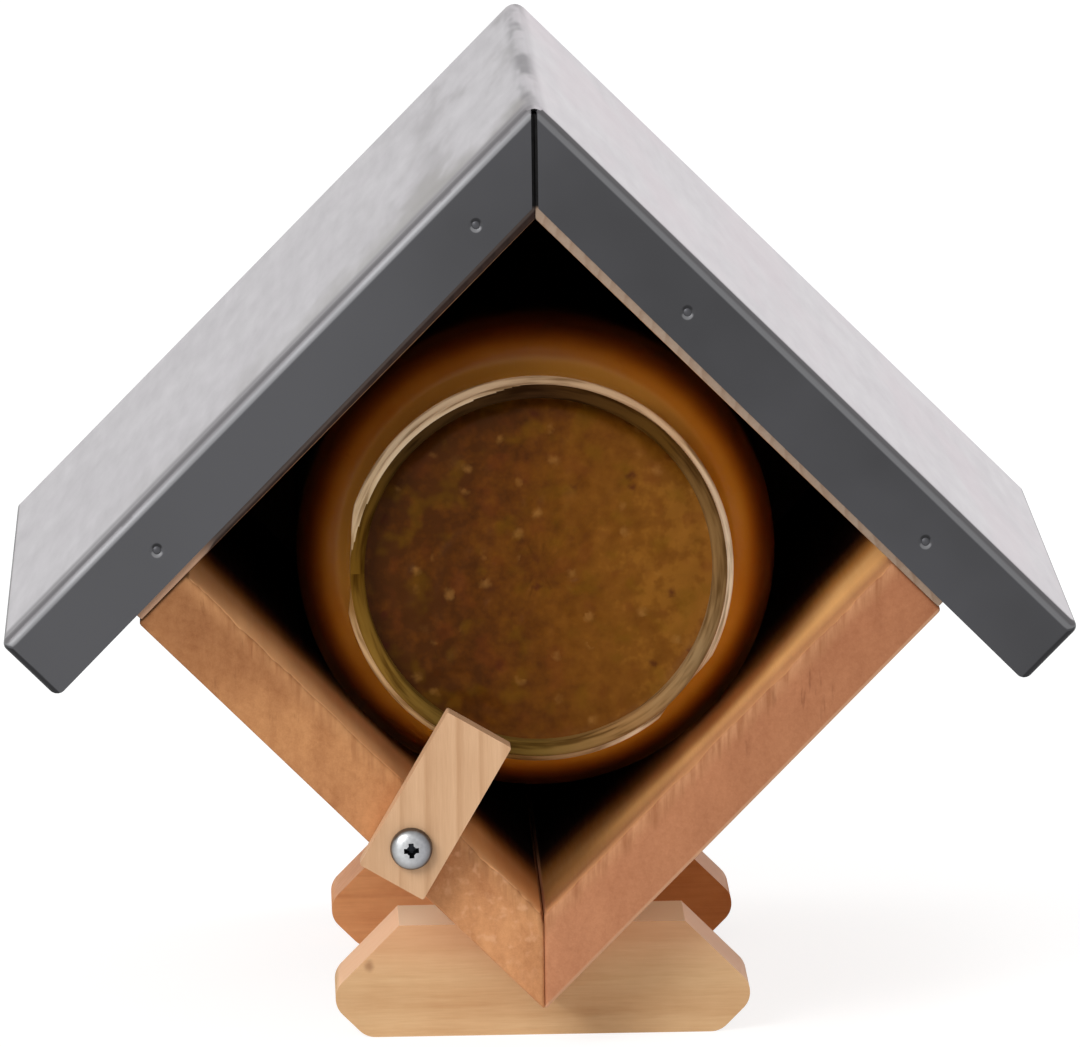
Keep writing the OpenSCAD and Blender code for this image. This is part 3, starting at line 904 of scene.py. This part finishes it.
def cradle_board(side, to_place, material, seed):
    """A board with a mitre at the bottom; the seed moves its chips along."""
    bm = bar([(inner, inner), (cradle_out, inner), (cradle_out, -cradle_out),
              (inner, -inner)], front_y, cradle_end_y)
    round_edges(bm, arris_r, 3)
    slice_at(bm, "X", inner + chip_w)
    slice_at(bm, "Y", front_y + chip_len)
    for step in range(1, int((inner + cradle_out) / torn_step)):
        slice_at(bm, "Z", inner - step * torn_step)
    for vertex in bm.verts:
        if vertex.co.y < front_y + torn_r and vertex.co.x < inner + torn_r:
            along = vertex.co.z / MM + seed
            coarse = noise.noise((along * 0.14, seed, 0))
            fine = noise.noise((along * 0.5, 0, seed))
            bite = max(0.0, 0.2 + coarse * 0.9 + fine * 0.22) * torn_depth
            vertex.co.y += 0.75 * bite
            vertex.co.x += 0.55 * bite
    put_in_place(bm, to_place)
    finish_piece("torn_board_" + side, bm, material, "house", "cradle_wood",
                 "cradle_board_" + side, sharp=60)

# %% Painted shade and torn fibres on the two boards' ends
def shade_towards_top(finish, colour, *stops):
    """Paints shade on a board's end from its lowest corner up to its highest one, as the roof's
    shadow.
    """
    return colour.shaded(finish.at.z.even(cradle_low.z, cradle_high.z).ramp(*stops))


def left_cradle_shade_and_fibres(finish, colour):
    """Painted shade, darker and redder towards the top, with pale torn fibres near the bottom.
    """
    colour = shade_towards_top(
        finish, colour, (0.0, white), (0.45, (0.86, 0.85, 0.82, 1.0)),
        (0.62, (0.84, 0.84, 0.78, 1.0)), (0.8, (0.62, 0.58, 0.52, 1.0)),
        (1.0, (0.50, 0.46, 0.40, 1.0)))
    colour = torn_fibres(finish, colour, seen(200, 146, 98), seen(160, 106, 66))
    apart = finish.at.far_from((-11 * MM, front_y, cradle_low.z + 20 * MM))
    fleck = finish.at.speckle(520.0).eased(0.52, 0.74)
    share = apart.eased(21 * MM, 8 * MM) * fleck * 0.5
    return share.between(colour, seen(226, 172, 130))


def right_cradle_shade_fibres_highlight(finish, colour):
    """Painted shade towards the top, torn fibres inside, and a painted highlight along the
    outer arris.
    """
    colour = shade_towards_top(finish, colour, (0.0, white), (0.5, (0.83, 0.79, 0.74, 1.0)),
                      (1.0, (0.70, 0.62, 0.56, 1.0)))
    colour = torn_fibres(finish, colour, seen(202, 148, 106), seen(150, 96, 60))
    # A painted highlight along the outer arris.
    across = (finish.at.x - (finish.at.z - middle_z)) / ROOT_2
    arris = across.eased(cradle_out - 0.8 * MM, cradle_out - 0.3 * MM, 0.0, 0.6)
    return arris.between(colour, seen(232, 184, 146))

# %% Both cradle boards
# Inner tones lifted paler as painted light; the right board's 0.58 paints its inner face darker
# low down as painted shade.
cradle_wood_left = wood(
    "cradle_wood_left", "Y", heart_at(-95, -110), 2.2 * MM, seen(218, 156, 106),
    seen(150, 88, 50), rings=0.05, streaks=0.45, patches=0.9, mottle=0.8, end_scores=0.25,
    inside=(seen(255, 192, 134), seen(255, 192, 130)), extra=left_cradle_shade_and_fibres, seed=2.1)
cradle_wood_right = wood(
    "cradle_wood_right", "Y", heart_at(120, -95), 2.2 * MM, seen(206, 144, 105),
    seen(157, 96, 64), rings=0.05, streaks=0.4, patches=0.5, mottle=0.45, end_scores=0.5,
    inside=(seen(202, 145, 98), seen(255, 199, 126), 0.58), extra=right_cradle_shade_fibres_highlight, seed=4.4)
cradle_board("left", to_left, cradle_wood_left, 3.0)
cradle_board("right", to_right, cradle_wood_right, 17.0)

# %% [markdown]
# ## Feet
#
# Two six-sided boards of different wood: the front one is pale and fresh, the
# rear one a redder piece. The grain runs from side to side, and the front one
# has a small knot near its left end.

# %% Dress the feet
knot_x, knot_z = -30.6 * MM, 12.8 * MM
knot_squash = 0.75


def knot_and_lit_faces(finish, colour):
    """A small dark knot near the left end of the front foot; the upper part pinker, and the
    faces that look up and the right slope painted paler as painted light.
    """
    at, facing = finish.at, finish.facing
    apart = (at * (1.0, 0.0, knot_squash)).far_from((knot_x, 0.0, knot_squash * knot_z))
    rough_edge = (at.speckle(400.0) - 0.5) * (1.2 * MM) + apart
    spot = rough_edge.eased(1.25 * MM, 0.2 * MM, 0.0, 0.55) * facing.y.eased(-0.8, -0.95)
    # Painted light on the faces that look up and on the right slope, which the house shades.
    right_slope = facing.x.eased(0.3, 0.6) * facing.z.eased(0.2, 0.5, 0.45, 0.9)
    return colour.layered(
        (at.z.eased(9 * MM, 19 * MM, 0.0, 0.35), seen(238, 176, 136)),
        (facing.z.eased(0.3, 0.6, 0.0, 0.75), seen(252, 206, 168)),
        (facing.z.eased(0.85, 0.98), seen(255, 236, 206)), (right_slope, seen(255, 214, 184)),
        (spot, seen(140, 92, 60)))


def rear_foot_shadow_and_lit_slope(finish, colour):
    """The rear foot is painted darker towards its right end, as painted shadow, and its right
    slope paler, as painted light.
    """
    side = finish.at.x
    # Painted shadow towards the right, and a painted lit right slope.
    dark = side.eased(-12 * MM, 18 * MM).between(white, (0.74, 0.58, 0.40, 1.0))
    pale = finish.facing.z.eased(0.3, 0.6) * side.eased(12 * MM, 20 * MM, 0.3, 0.8)
    return pale.between(colour.shaded(dark), seen(250, 208, 180))


front_foot_wood = wood(
    "front_foot_wood", "X", (0.0, 0.10, 0.06), 3.4 * MM, seen(228, 192, 146),
    seen(194, 146, 100), rings=0.28, streaks=0.6, patches=0.5, mottle=0.15, mottle_squash=1.0,
    extra=knot_and_lit_faces, seed=6.2)
rear_foot_wood = wood(
    "rear_foot_wood", "X", (0.0, -0.08, 0.09), 2.6 * MM, seen(246, 180, 124),
    seen(206, 128, 76), rings=0.2, streaks=0.45, patches=0.9, mottle=0.4, mottle_squash=1.0,
    extra=rear_foot_shadow_and_lit_slope, seed=8.8)
dress_node("front_foot", front_foot_wood, 0.7 * MM, 3)
dress_node("rear_foot", rear_foot_wood, 0.7 * MM, 3)

# %% [markdown]
# ## Turn button
#
# A small lath of pale pine whose grain runs nearly upright, not along it. Its
# drawn shape is right, with its bore, so it only gets eased edges and wood.

# %% Dress the button
button_wood = wood(
    "button_wood", "Z", (0.012, 0.05, 0.0), 1.5 * MM, seen(222, 182, 144), seen(186, 142, 104),
    rings=0.4, streaks=0.4, patches=0.4, seed=11.3)
dress_node("turn_button", button_wood, 0.25 * MM)

# %% [markdown]
# ## Screw and pins
#
# The screw is a pan head with a cross recess in bright zinc plate. Half its
# section is spun round, and a cross with sloping ends is taken out of it.

# %% A finish for steel
def steel(name, colour, roughness, shade=None):
    """Bright or dull steel with a fine grain."""
    finish = Finish(name)
    grain = finish.at.speckle(1500.0, 3.0)
    dim = tuple(0.82 * part for part in colour[:3]) + (1.0,)
    tone = grain.ramp((0.3, dim), (0.7, colour))
    if shade:
        tone = shade(finish, tone)
    finish.put({"Base Color": tone, "Metallic": 1.0,
                "Roughness": grain.eased(0.3, 0.7, roughness, roughness + 0.12)})
    return finish.material


screw_low, screw_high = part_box("button_screw")
screw_x = (screw_low.x + screw_high.x) / 2
screw_z = (screw_low.z + screw_high.z) / 2
head_r = (screw_high.x - screw_low.x) / 2


def head_highlight_and_rim_shade(finish, colour):
    """The head is painted brightest at the left, as a painted highlight, and darker round its
    rim, as a painted dark reflection.
    """
    far = (finish.at * no_depth).far_from((screw_x, 0.0, screw_z))
    dull = (far / head_r).ramp(
        (0.62, white), (0.84, (0.62, 0.61, 0.60, 1.0)), (1.0, (0.20, 0.17, 0.15, 1.0)))
    from_left = finish.at.x.eased(screw_x - 2.4 * MM, screw_x + 3.4 * MM)
    from_left = from_left.ramp((0.0, white), (1.0, (0.58, 0.57, 0.60, 1.0)))
    return colour.shaded(from_left).shaded(dull)


screw_steel = steel("bright_zinc_plate", seen(202, 204, 205), 0.28, shade=head_highlight_and_rim_shade)
# Painted shade for the inside of the cross recess.
recess_painted_shade = steel("recess_shade", seen(58, 62, 68), 0.45)
# The pin heads are painted dark, as the rims' painted shade.
pin_steel_in_shade = steel("pin_steel_in_shade", seen(84, 84, 87), 0.45)
brad_steel = steel("brad_steel", seen(170, 172, 176), 0.3)

# %% The screw
head_h = 2.6 * MM
head_edge = 0.12 * MM
shank_r = 1.75 * MM
recess_d = 2.2 * MM
recess_reach = 3.8 * MM
recess_w = 1.15 * MM
recess_hub_r = 1.2 * MM
recess_turn = 0.05
seat_y = screw_low.y + head_h
turn_forward = (Matrix.Translation((screw_x, seat_y, screw_z))
                @ Matrix.Rotation(math.pi / 2, 4, "X"))


def cross_recess():
    """Two crossed wedges round a hub, wide at the top of the head."""
    bm = bmesh.new()
    bmesh.ops.create_cone(
        bm, cap_ends=True, segments=24, radius1=0.5 * recess_hub_r, radius2=recess_hub_r,
        depth=2.2 * recess_d, matrix=Matrix.Translation((0, 0, head_h)))
    for turn in (recess_turn, recess_turn + math.pi / 2):
        made = bmesh.ops.create_cube(bm, size=1.0)["verts"]
        bmesh.ops.scale(bm, vec=(recess_reach, recess_w, 2 * recess_d), verts=made)
        for vertex in made:
            if vertex.co.z < 0:
                vertex.co.x *= 0.4
                vertex.co.y *= 0.55
        bmesh.ops.translate(bm, vec=(0, 0, head_h), verts=made)
        bmesh.ops.rotate(bm, cent=(0, 0, 0), matrix=Matrix.Rotation(turn, 3, "Z"), verts=made)
    return bm


def carved(body, tool):
    """The first mesh without the second, through a Boolean modifier."""
    kept = placed("body", body)
    taken = placed("tool", tool)
    cut = kept.modifiers.new("cut", "BOOLEAN")
    cut.operation = "DIFFERENCE"
    cut.solver = "EXACT"
    cut.use_self = True
    cut.object = taken
    result = settled(kept)
    bpy.data.objects.remove(taken)
    return result


def dome_z(radius):
    """The height of the domed head at a distance from its axis."""
    sine = min(1.0, radius / head_r) ** 1.1
    return head_h * (0.12 + 0.88 * (1 - sine * sine) ** 0.35)


shares = [step / 16 for step in range(15)] + [0.92, 0.96, 0.985, 1]
tip_z = seat_y - screw_high.y
head_profile = [(head_r * share, dome_z(head_r * share)) for share in shares]
head_profile += [(head_r, head_edge), (head_r - head_edge, 0), (shank_r, 0),
                 (shank_r, tip_z), (0, tip_z)]
head = spun(head_profile, 64)
head = carved(head, cross_recess())
# The faces inside the recess get the painted shade.
for face in head.faces:
    centre = face.calc_center_median()
    off_axis = math.hypot(centre.x, centre.y)
    sunk = dome_z(off_axis) - centre.z
    if off_axis < 0.55 * recess_reach and sunk > 0.06 * MM and centre.z > 0.1 * MM:
        face.material_index = 1
put_in_place(head, turn_forward)
screw = finish_piece(
    "cross_head_screw", head, screw_steel, "house", "screw_steel", "button_screw", sharp=40)
screw.data.materials.append(recess_painted_shade)

# %% The pins in the rims
pin_head_r = 0.8 * MM
pin_head_t = 0.4 * MM
pin_r = 0.6 * MM
pin_depth = 12 * MM
domed_pin = quarter((0, 0), 1, 90, 0, 6)
pin_profile = [(pin_head_r * radius, pin_head_t * height) for radius, height in domed_pin]
pin_profile += [(pin_head_r, -0.05 * MM), (pin_r, -0.1 * MM), (pin_r, -pin_depth),
                (0, -pin_depth)]


def rim_pins(name, y, out, node):
    """Four domed pins in the front or the rear rim."""
    bm = bmesh.new()
    sunk = y - out * 0.9 * dimple_d
    upright = Matrix.Rotation(-out * math.pi / 2, 4, "X")
    for spot in pin_spots:
        at = to_right @ Matrix.Translation((spot.x, sunk, spot.y)) @ upright
        one = spun(pin_profile, 20, at)
        mesh = bpy.data.meshes.new("one_pin")
        one.to_mesh(mesh)
        one.free()
        bm.from_mesh(mesh)
        bpy.data.meshes.remove(mesh)
    bmesh.ops.recalc_face_normals(bm, faces=bm.faces)
    finish_piece(name, bm, pin_steel_in_shade, "house", "nail_steel", node)


rim_pins("domed_pins_front", rim_y0, -1, "front_roof_pins")
rim_pins("domed_pins_rear", rim_y1, 1, "rear_roof_pins")

# %% The brads that nothing shows
for node_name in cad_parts:
    if "brads" in node_name:
        dress_node(node_name, brad_steel)

# %% [markdown]
# ## The jar
#
# Half the section of the wall is drawn from the middle of the base, up the
# outside, over the rim and down the inside, and spun once round. The two
# threads of its lid are then pushed out of the neck, so the glass stays one
# closed surface.

# %% Half the section of the glass
jar_low, jar_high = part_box("jar_glass")
jar_r = (jar_high.x - jar_low.x) / 2
jar_z = (jar_high.z + jar_low.z) / 2
jar_len = jar_high.y - jar_low.y
glass_t = 2.6 * MM
base_t = 4 * MM
neck_r = 33 * MM
neck_h = 14.7 * MM
heel_r = 6 * MM
shoulder_r = jar_r - neck_r
shoulder_h = jar_len - neck_h - shoulder_r
lip_r = 0.8 * MM
push_up = 2.2 * MM

outside = [(0, push_up), (0.35 * jar_r, push_up * 0.9), (0.62 * jar_r, push_up * 0.4),
           (0.74 * jar_r, 0.3 * MM), (0.79 * jar_r, 0)]
outside += quarter((jar_r - heel_r, heel_r), heel_r, -90, 0, 8)
outside += [(jar_r, shoulder_h * share) for share in (0.3, 0.5, 0.7, 0.9)]
outside += quarter((neck_r, shoulder_h), shoulder_r, 0, 82, 12)
outside += [(neck_r, jar_len - share * MM) for share in (12, 9, 6.5)]
outside += [(neck_r, jar_len - 5.2 * MM + step * 0.25 * MM) for step in range(18)]
outside += quarter((neck_r - lip_r, jar_len - lip_r), lip_r, 0, 90, 7)

# %% Down the inside of the glass
inside_r = neck_r - glass_t
inner_lip_r = 0.9 * MM
inner_shoulder_r = shoulder_r - glass_t
inner_heel_r = heel_r - glass_t

inside = quarter((inside_r + inner_lip_r, jar_len - inner_lip_r), inner_lip_r, 90, 180, 6)
inside += [(inside_r, jar_len - share * MM) for share in (4, 7, 10)]
inside += [(inside_r, shoulder_h + inner_shoulder_r + 1.2 * MM)]
inside += quarter((neck_r, shoulder_h), inner_shoulder_r, 80, 0, 10)
inside += [(jar_r - glass_t, shoulder_h * share) for share in (0.7, 0.4)]
inside += quarter((jar_r - heel_r, base_t + inner_heel_r), inner_heel_r, 0, -90, 6)
inside += [(0.5 * jar_r, base_t + push_up * 0.3), (0, base_t + push_up * 0.5)]
print("jar:", round(2 * jar_r / MM, 1), "by", round(jar_len / MM, 1), "mm")

# %% Spin the jar and push its threads out
lay_back = (Matrix.Translation((0, jar_high.y, jar_z)) @ Matrix.Rotation(math.pi / 2, 4, "X"))
thread_out = 1.1 * MM
thread_rise = 1.0 * MM
thread_top = 2.1 * MM
thread_w = 1.2 * MM
threads = [(-38, 171), (186, 314)]    # where each one starts and ends, in degrees

bm = spun(outside + inside, 144)
for vertex in bm.verts:
    radius = math.hypot(vertex.co.x, vertex.co.y)
    if radius < neck_r - 10 * HAIR or vertex.co.z < jar_len - 5 * MM:
        continue
    turn = math.degrees(math.atan2(vertex.co.y, vertex.co.x))
    for first, last in threads:
        share = (turn - first) % 360 / (last - first)
        if share > 1:
            continue
        middle = jar_len - thread_top - thread_rise * share
        across = abs(vertex.co.z - middle) / thread_w
        ends = min(1, 20 * share, 20 * (1 - share))
        if across < 1:
            grown = 1 + thread_out * ends * math.sqrt(1 - across * across) / radius
            vertex.co.x *= grown
            vertex.co.y *= grown

# %% Mark the lip and its edge, which get painted light
lip_slot, edge_slot = 1, 2
lip_h = 4 * MM
edge_h = 4.6 * MM
# The painted highlight on the edge is widest at this angle.
lit_from = 134    # where the edge catches the most light, in degrees
lit_reach = 40

for face in bm.faces:
    centre = face.calc_center_median()
    radius = math.hypot(centre.x, centre.y)
    off_lit = abs(math.degrees(math.atan2(centre.y, centre.x)) - lit_from) / lit_reach
    reach = 0.1 + 0.9 * max(0.0, 1 - off_lit ** 4)
    if radius > neck_r - reach * lip_r and centre.z > jar_len - edge_h:
        face.material_index = edge_slot
    elif centre.z > jar_len - lip_h:
        face.material_index = lip_slot
put_in_place(bm, lay_back)

# %% [markdown]
# The jar is clear glass. Its thick lip is painted light and lets none through:
# the flat of the lip with the brown and olive glow of light that runs inside the
# wall, and its outer edge with the threads with a bright cream highlight that
# changes round the mouth.

# %% Three kinds of glass, two of them painted light
def jar_glass(name, clear, roughness, *stops):
    """Glass whose colour changes round the mouth.

    Each stop is an angle, from the right over the top, and the colour seen there; on the lip
    and the edge these colours are painted light.
    """
    finish = Finish(name)
    at = finish.at
    off_axis = at - (0.0, 0.0, jar_z)
    turn = off_axis.z.maths("ARCTAN2", off_axis.x)
    waver = at.speckle(260.0) - 0.5
    share = waver * 0.03 + (turn / (2 * math.pi)).maths("FRACT")
    stops += ((360, stops[0][1]),)
    tone = share.ramp(*[(angle / 360, seen(*colour)) for angle, colour in stops])
    # Fine rings of painted highlight on the lip and the edge.
    if clear == 0:
        far = (off_axis * no_depth).length()
        ring_at = add(finish.tree, "CombineXYZ", {0: far, 1: turn * 0.003, 2: off_axis.y})
        rings = ring_at.speckle(850.0, 2.0, 0.6)
        tone = tone.shaded(rings.ramp((0.34, (0.42, 0.36, 0.28, 1.0)),
                                      (0.5, (0.9, 0.88, 0.85, 1.0)), (0.6, white)))
    finish.put({"Base Color": tone, "Transmission Weight": clear, "Roughness": roughness,
                "IOR": 1.2, "Specular IOR Level": 0.03})
    finish.relief(at.speckle(60.0), 0.15, 0.4 * MM)
    return finish.material


body_glass = jar_glass(
    "jar_body_glass", 1.0, 0.25, (0, (240, 243, 236)), (180, (244, 246, 240)))
lip_painted_light = jar_glass(
    "jar_lip_painted_light", 0.0, 0.45, (0, (132, 100, 62)), (45, (84, 56, 20)), (90, (52, 32, 16)),
    (135, (56, 38, 16)), (180, (100, 70, 20)), (210, (128, 96, 40)), (225, (118, 90, 38)),
    (270, (112, 86, 40)), (300, (150, 112, 70)), (330, (146, 118, 82)))
edge_painted_highlight = jar_glass(
    "jar_edge_painted_highlight", 0.0, 0.3, (0, (255, 236, 208)), (40, (214, 180, 142)),
    (90, (176, 148, 118)), (135, (182, 160, 132)), (168, (190, 166, 132)),
    (174, (124, 90, 46)), (188, (140, 104, 60)), (205, (196, 162, 120)),
    (240, (206, 170, 120)), (262, (134, 96, 50)), (285, (190, 152, 112)),
    (300, (255, 228, 196)), (312, (180, 142, 98)), (320, (140, 100, 54)),
    (326, (244, 212, 178)))
jar = finish_piece("glass_jar", bm, body_glass, "jar", "jar_glass", "jar_glass", sharp=60)
jar.data.materials.append(lip_painted_light)
jar.data.materials.append(edge_painted_highlight)

# %% [markdown]
# ## Peanut butter
#
# The butter fills the jar and wets the glass, so its skin lies just inside
# the wall's surface: with a gap of air between them the glass would shine
# like a mirror. The open face is smooth with soft lumps, and the finish holds
# pale bits of nut and dark bits of skin.

# %% The body of the butter
butter_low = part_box("peanut_butter")[0]
wet = 0.12 * MM
face_h = jar_high.y - butter_low.y
body_r = jar_r - glass_t + wet
throat_r = inside_r + wet
face_rings = 44
face = [(throat_r * ring / face_rings, face_h) for ring in range(face_rings + 1)]
side_down = [(throat_r, face_h - 3 * MM), (throat_r, face_h - 6 * MM)]
side_down += quarter((neck_r, shoulder_h), inner_shoulder_r + wet, 80, 0, 10)
side_down += [(body_r, 0.5 * shoulder_h)]
side_down += quarter(
    (body_r - inner_heel_r, base_t + inner_heel_r - wet), inner_heel_r, 0, -90, 6)
side_down += [(0.5 * jar_r, base_t + push_up * 0.3 - wet), (0, base_t + push_up * 0.5 - wet)]
bm = spun(face + side_down, 160)

# %% Let the face sag at the top, swell, and climb the wall below
sag_d, sag_w = 2.4 * MM, 3.4 * MM
calm_w = 3 * MM
climb_w = 2 * MM

for vertex in bm.verts:
    radius = math.hypot(vertex.co.x, vertex.co.y)
    if vertex.co.z < face_h - 10 * HAIR:
        continue
    over_top = max(0.0, vertex.co.y / max(radius, MM) - 0.2) / 0.8
    at_edge = max(0.0, (radius - throat_r + sag_w) / sag_w)
    vertex.co.z -= sag_d * over_top * at_edge * at_edge
    at = vertex.co / MM
    swell = noise.noise((at.x * 0.06, at.y * 0.06, 1.0)) * 0.9
    lump = noise.noise((at.x * 0.35, at.y * 0.35, 5.0)) * 0.45
    bit = max(0.0, noise.noise((at.x * 0.9, at.y * 0.9, 9.0)) - 0.2) * 0.6
    calm = min(1.0, (throat_r - radius) / calm_w)
    whole = min(1.0, radius / (4 * MM))
    rise = min(1.0, max(0.0, (radius - throat_r + climb_w) / climb_w))
    wall_rise = 0.5 * rise * rise * (1 - over_top)
    vertex.co.z += (calm * (swell + whole * (lump + bit)) + wall_rise) * MM
put_in_place(bm, lay_back)

# %% Ragged bits in the butter
butter = Finish("peanut_butter_finish")
at = butter.at
side, depth, high = at.x, at.y, at.z
haze = at.speckle(90.0, 4.0, 0.6)
blotch = at.speckle(170.0, 3.0, 0.6)
grit = at.speckle(480.0, 2.0, 0.55)
tint = (at + (0.3, 0.0, 0.7)).speckle(170.0)
blur = (at.speckle(700.0, output="Color") - half) * (1.6 * MM, 1.6 * MM, 1.6 * MM)
ragged = blur + at


def bits(scale, rare, size):
    """1 inside scattered ragged bits, 0 between them."""
    off_seed = add(
        butter.tree, "TexVoronoi", {"Vector": ragged, "Scale": scale, "Randomness": 1.0},
        "Distance")
    chance = add(butter.tree, "SeparateColor", {0: off_seed.beside("Color")}, "Red")
    return chance.eased(rare, rare + 0.02) * off_seed.eased(size, 0.0)

# %% The open face of the butter
# The open face is darker at the left and near the top, and lighter at the right.
face_tone = side.eased(-26 * MM, 32 * MM)
face_tone = face_tone + high.eased(jar_z + 8 * MM, jar_z + 30 * MM, 0.0, -0.22)
for grain, strength in ((haze, 0.35), (blotch, 0.75), (grit, 0.75)):
    face_tone = (grain - 0.5) * strength + face_tone
open_face = face_tone.ramp(
    (0.0, seen(68, 34, 4)), (0.22, seen(84, 44, 6)), (0.55, seen(102, 58, 9)),
    (0.85, seen(114, 68, 15)), (1.0, seen(128, 80, 22)))
open_face = open_face.layered(
    (tint.eased(0.52, 0.70, 0.0, 0.4), seen(104, 70, 4)),
    (tint.eased(0.46, 0.30, 0.0, 0.3), seen(100, 46, 14)),
    (bits(150.0, 0.86, 0.34) * 0.5, seen(142, 96, 44)),
    (bits(330.0, 0.82, 0.46) * 0.45, seen(156, 108, 52)),
    (bits(300.0, 0.88, 0.40) * 0.75, seen(66, 24, 8)))

# %% The butter behind the glass, painted with light and shade
# Painted light: lifted far paler than the butter's own colour, then painted shade towards the
# jar's edge and deeper in, darker at the upper left, and a painted glow beside the neck.
behind = haze.ramp((0.3, seen(226, 138, 34)), (0.7, seen(242, 160, 52)))
off_axis = ((at - (0.0, 0.0, jar_z)) * no_depth).length()
at_edge = off_axis.eased(36 * MM, body_r)
behind = behind.shaded(
    at_edge.ramp((0.0, white), (0.5, (0.62, 0.48, 0.30, 1.0)), (1.0, (0.24, 0.13, 0.06, 1.0))))
shoulder_y = jar_high.y - shoulder_h
in_deep = depth.eased(shoulder_y - 2 * MM, shoulder_y + 14 * MM)
behind = in_deep.between(behind, seen(46, 18, 4))
above = high - jar_z
lit_side = (above * -0.6 + side * 0.8).even(-12 * MM, 38 * MM)
behind = behind.shaded(lit_side.ramp((0.0, (0.42, 0.36, 0.34, 1.0)),
                                     (0.45, (0.60, 0.54, 0.44, 1.0)), (1.0, white)))
from_corner = side * -0.5 + above
glow = from_corner.eased(-4 * MM, 17 * MM, 0.0, 0.85)
glow = off_axis.eased(35.9 * MM, 34.2 * MM) * glow
behind = glow.between(behind, seen(190, 132, 57))

# %% Put the butter together
# Behind the glass the butter takes the painted light and shade.
behind_glass = depth.eased(butter_low.y + 1.2 * MM, butter_low.y + 2.2 * MM)
butter.put({"Base Color": behind_glass.between(open_face, behind), "Roughness": 0.45,
            "Specular IOR Level": 0.06})
butter.relief(bits(330.0, 0.82, 0.42) * 0.4 + haze, 0.4, 0.5 * MM)
finish_piece("butter_fill", bm, butter.material, "jar", "peanut_butter", "peanut_butter",
             sharp=60)

# %% [markdown]
# ## The size of the feeder
#
# The dressed feeder must be as large as the drawn one. The last line measures
# the box round everything shown but the floor.

# %% Measure the box round the feeder
low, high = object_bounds()
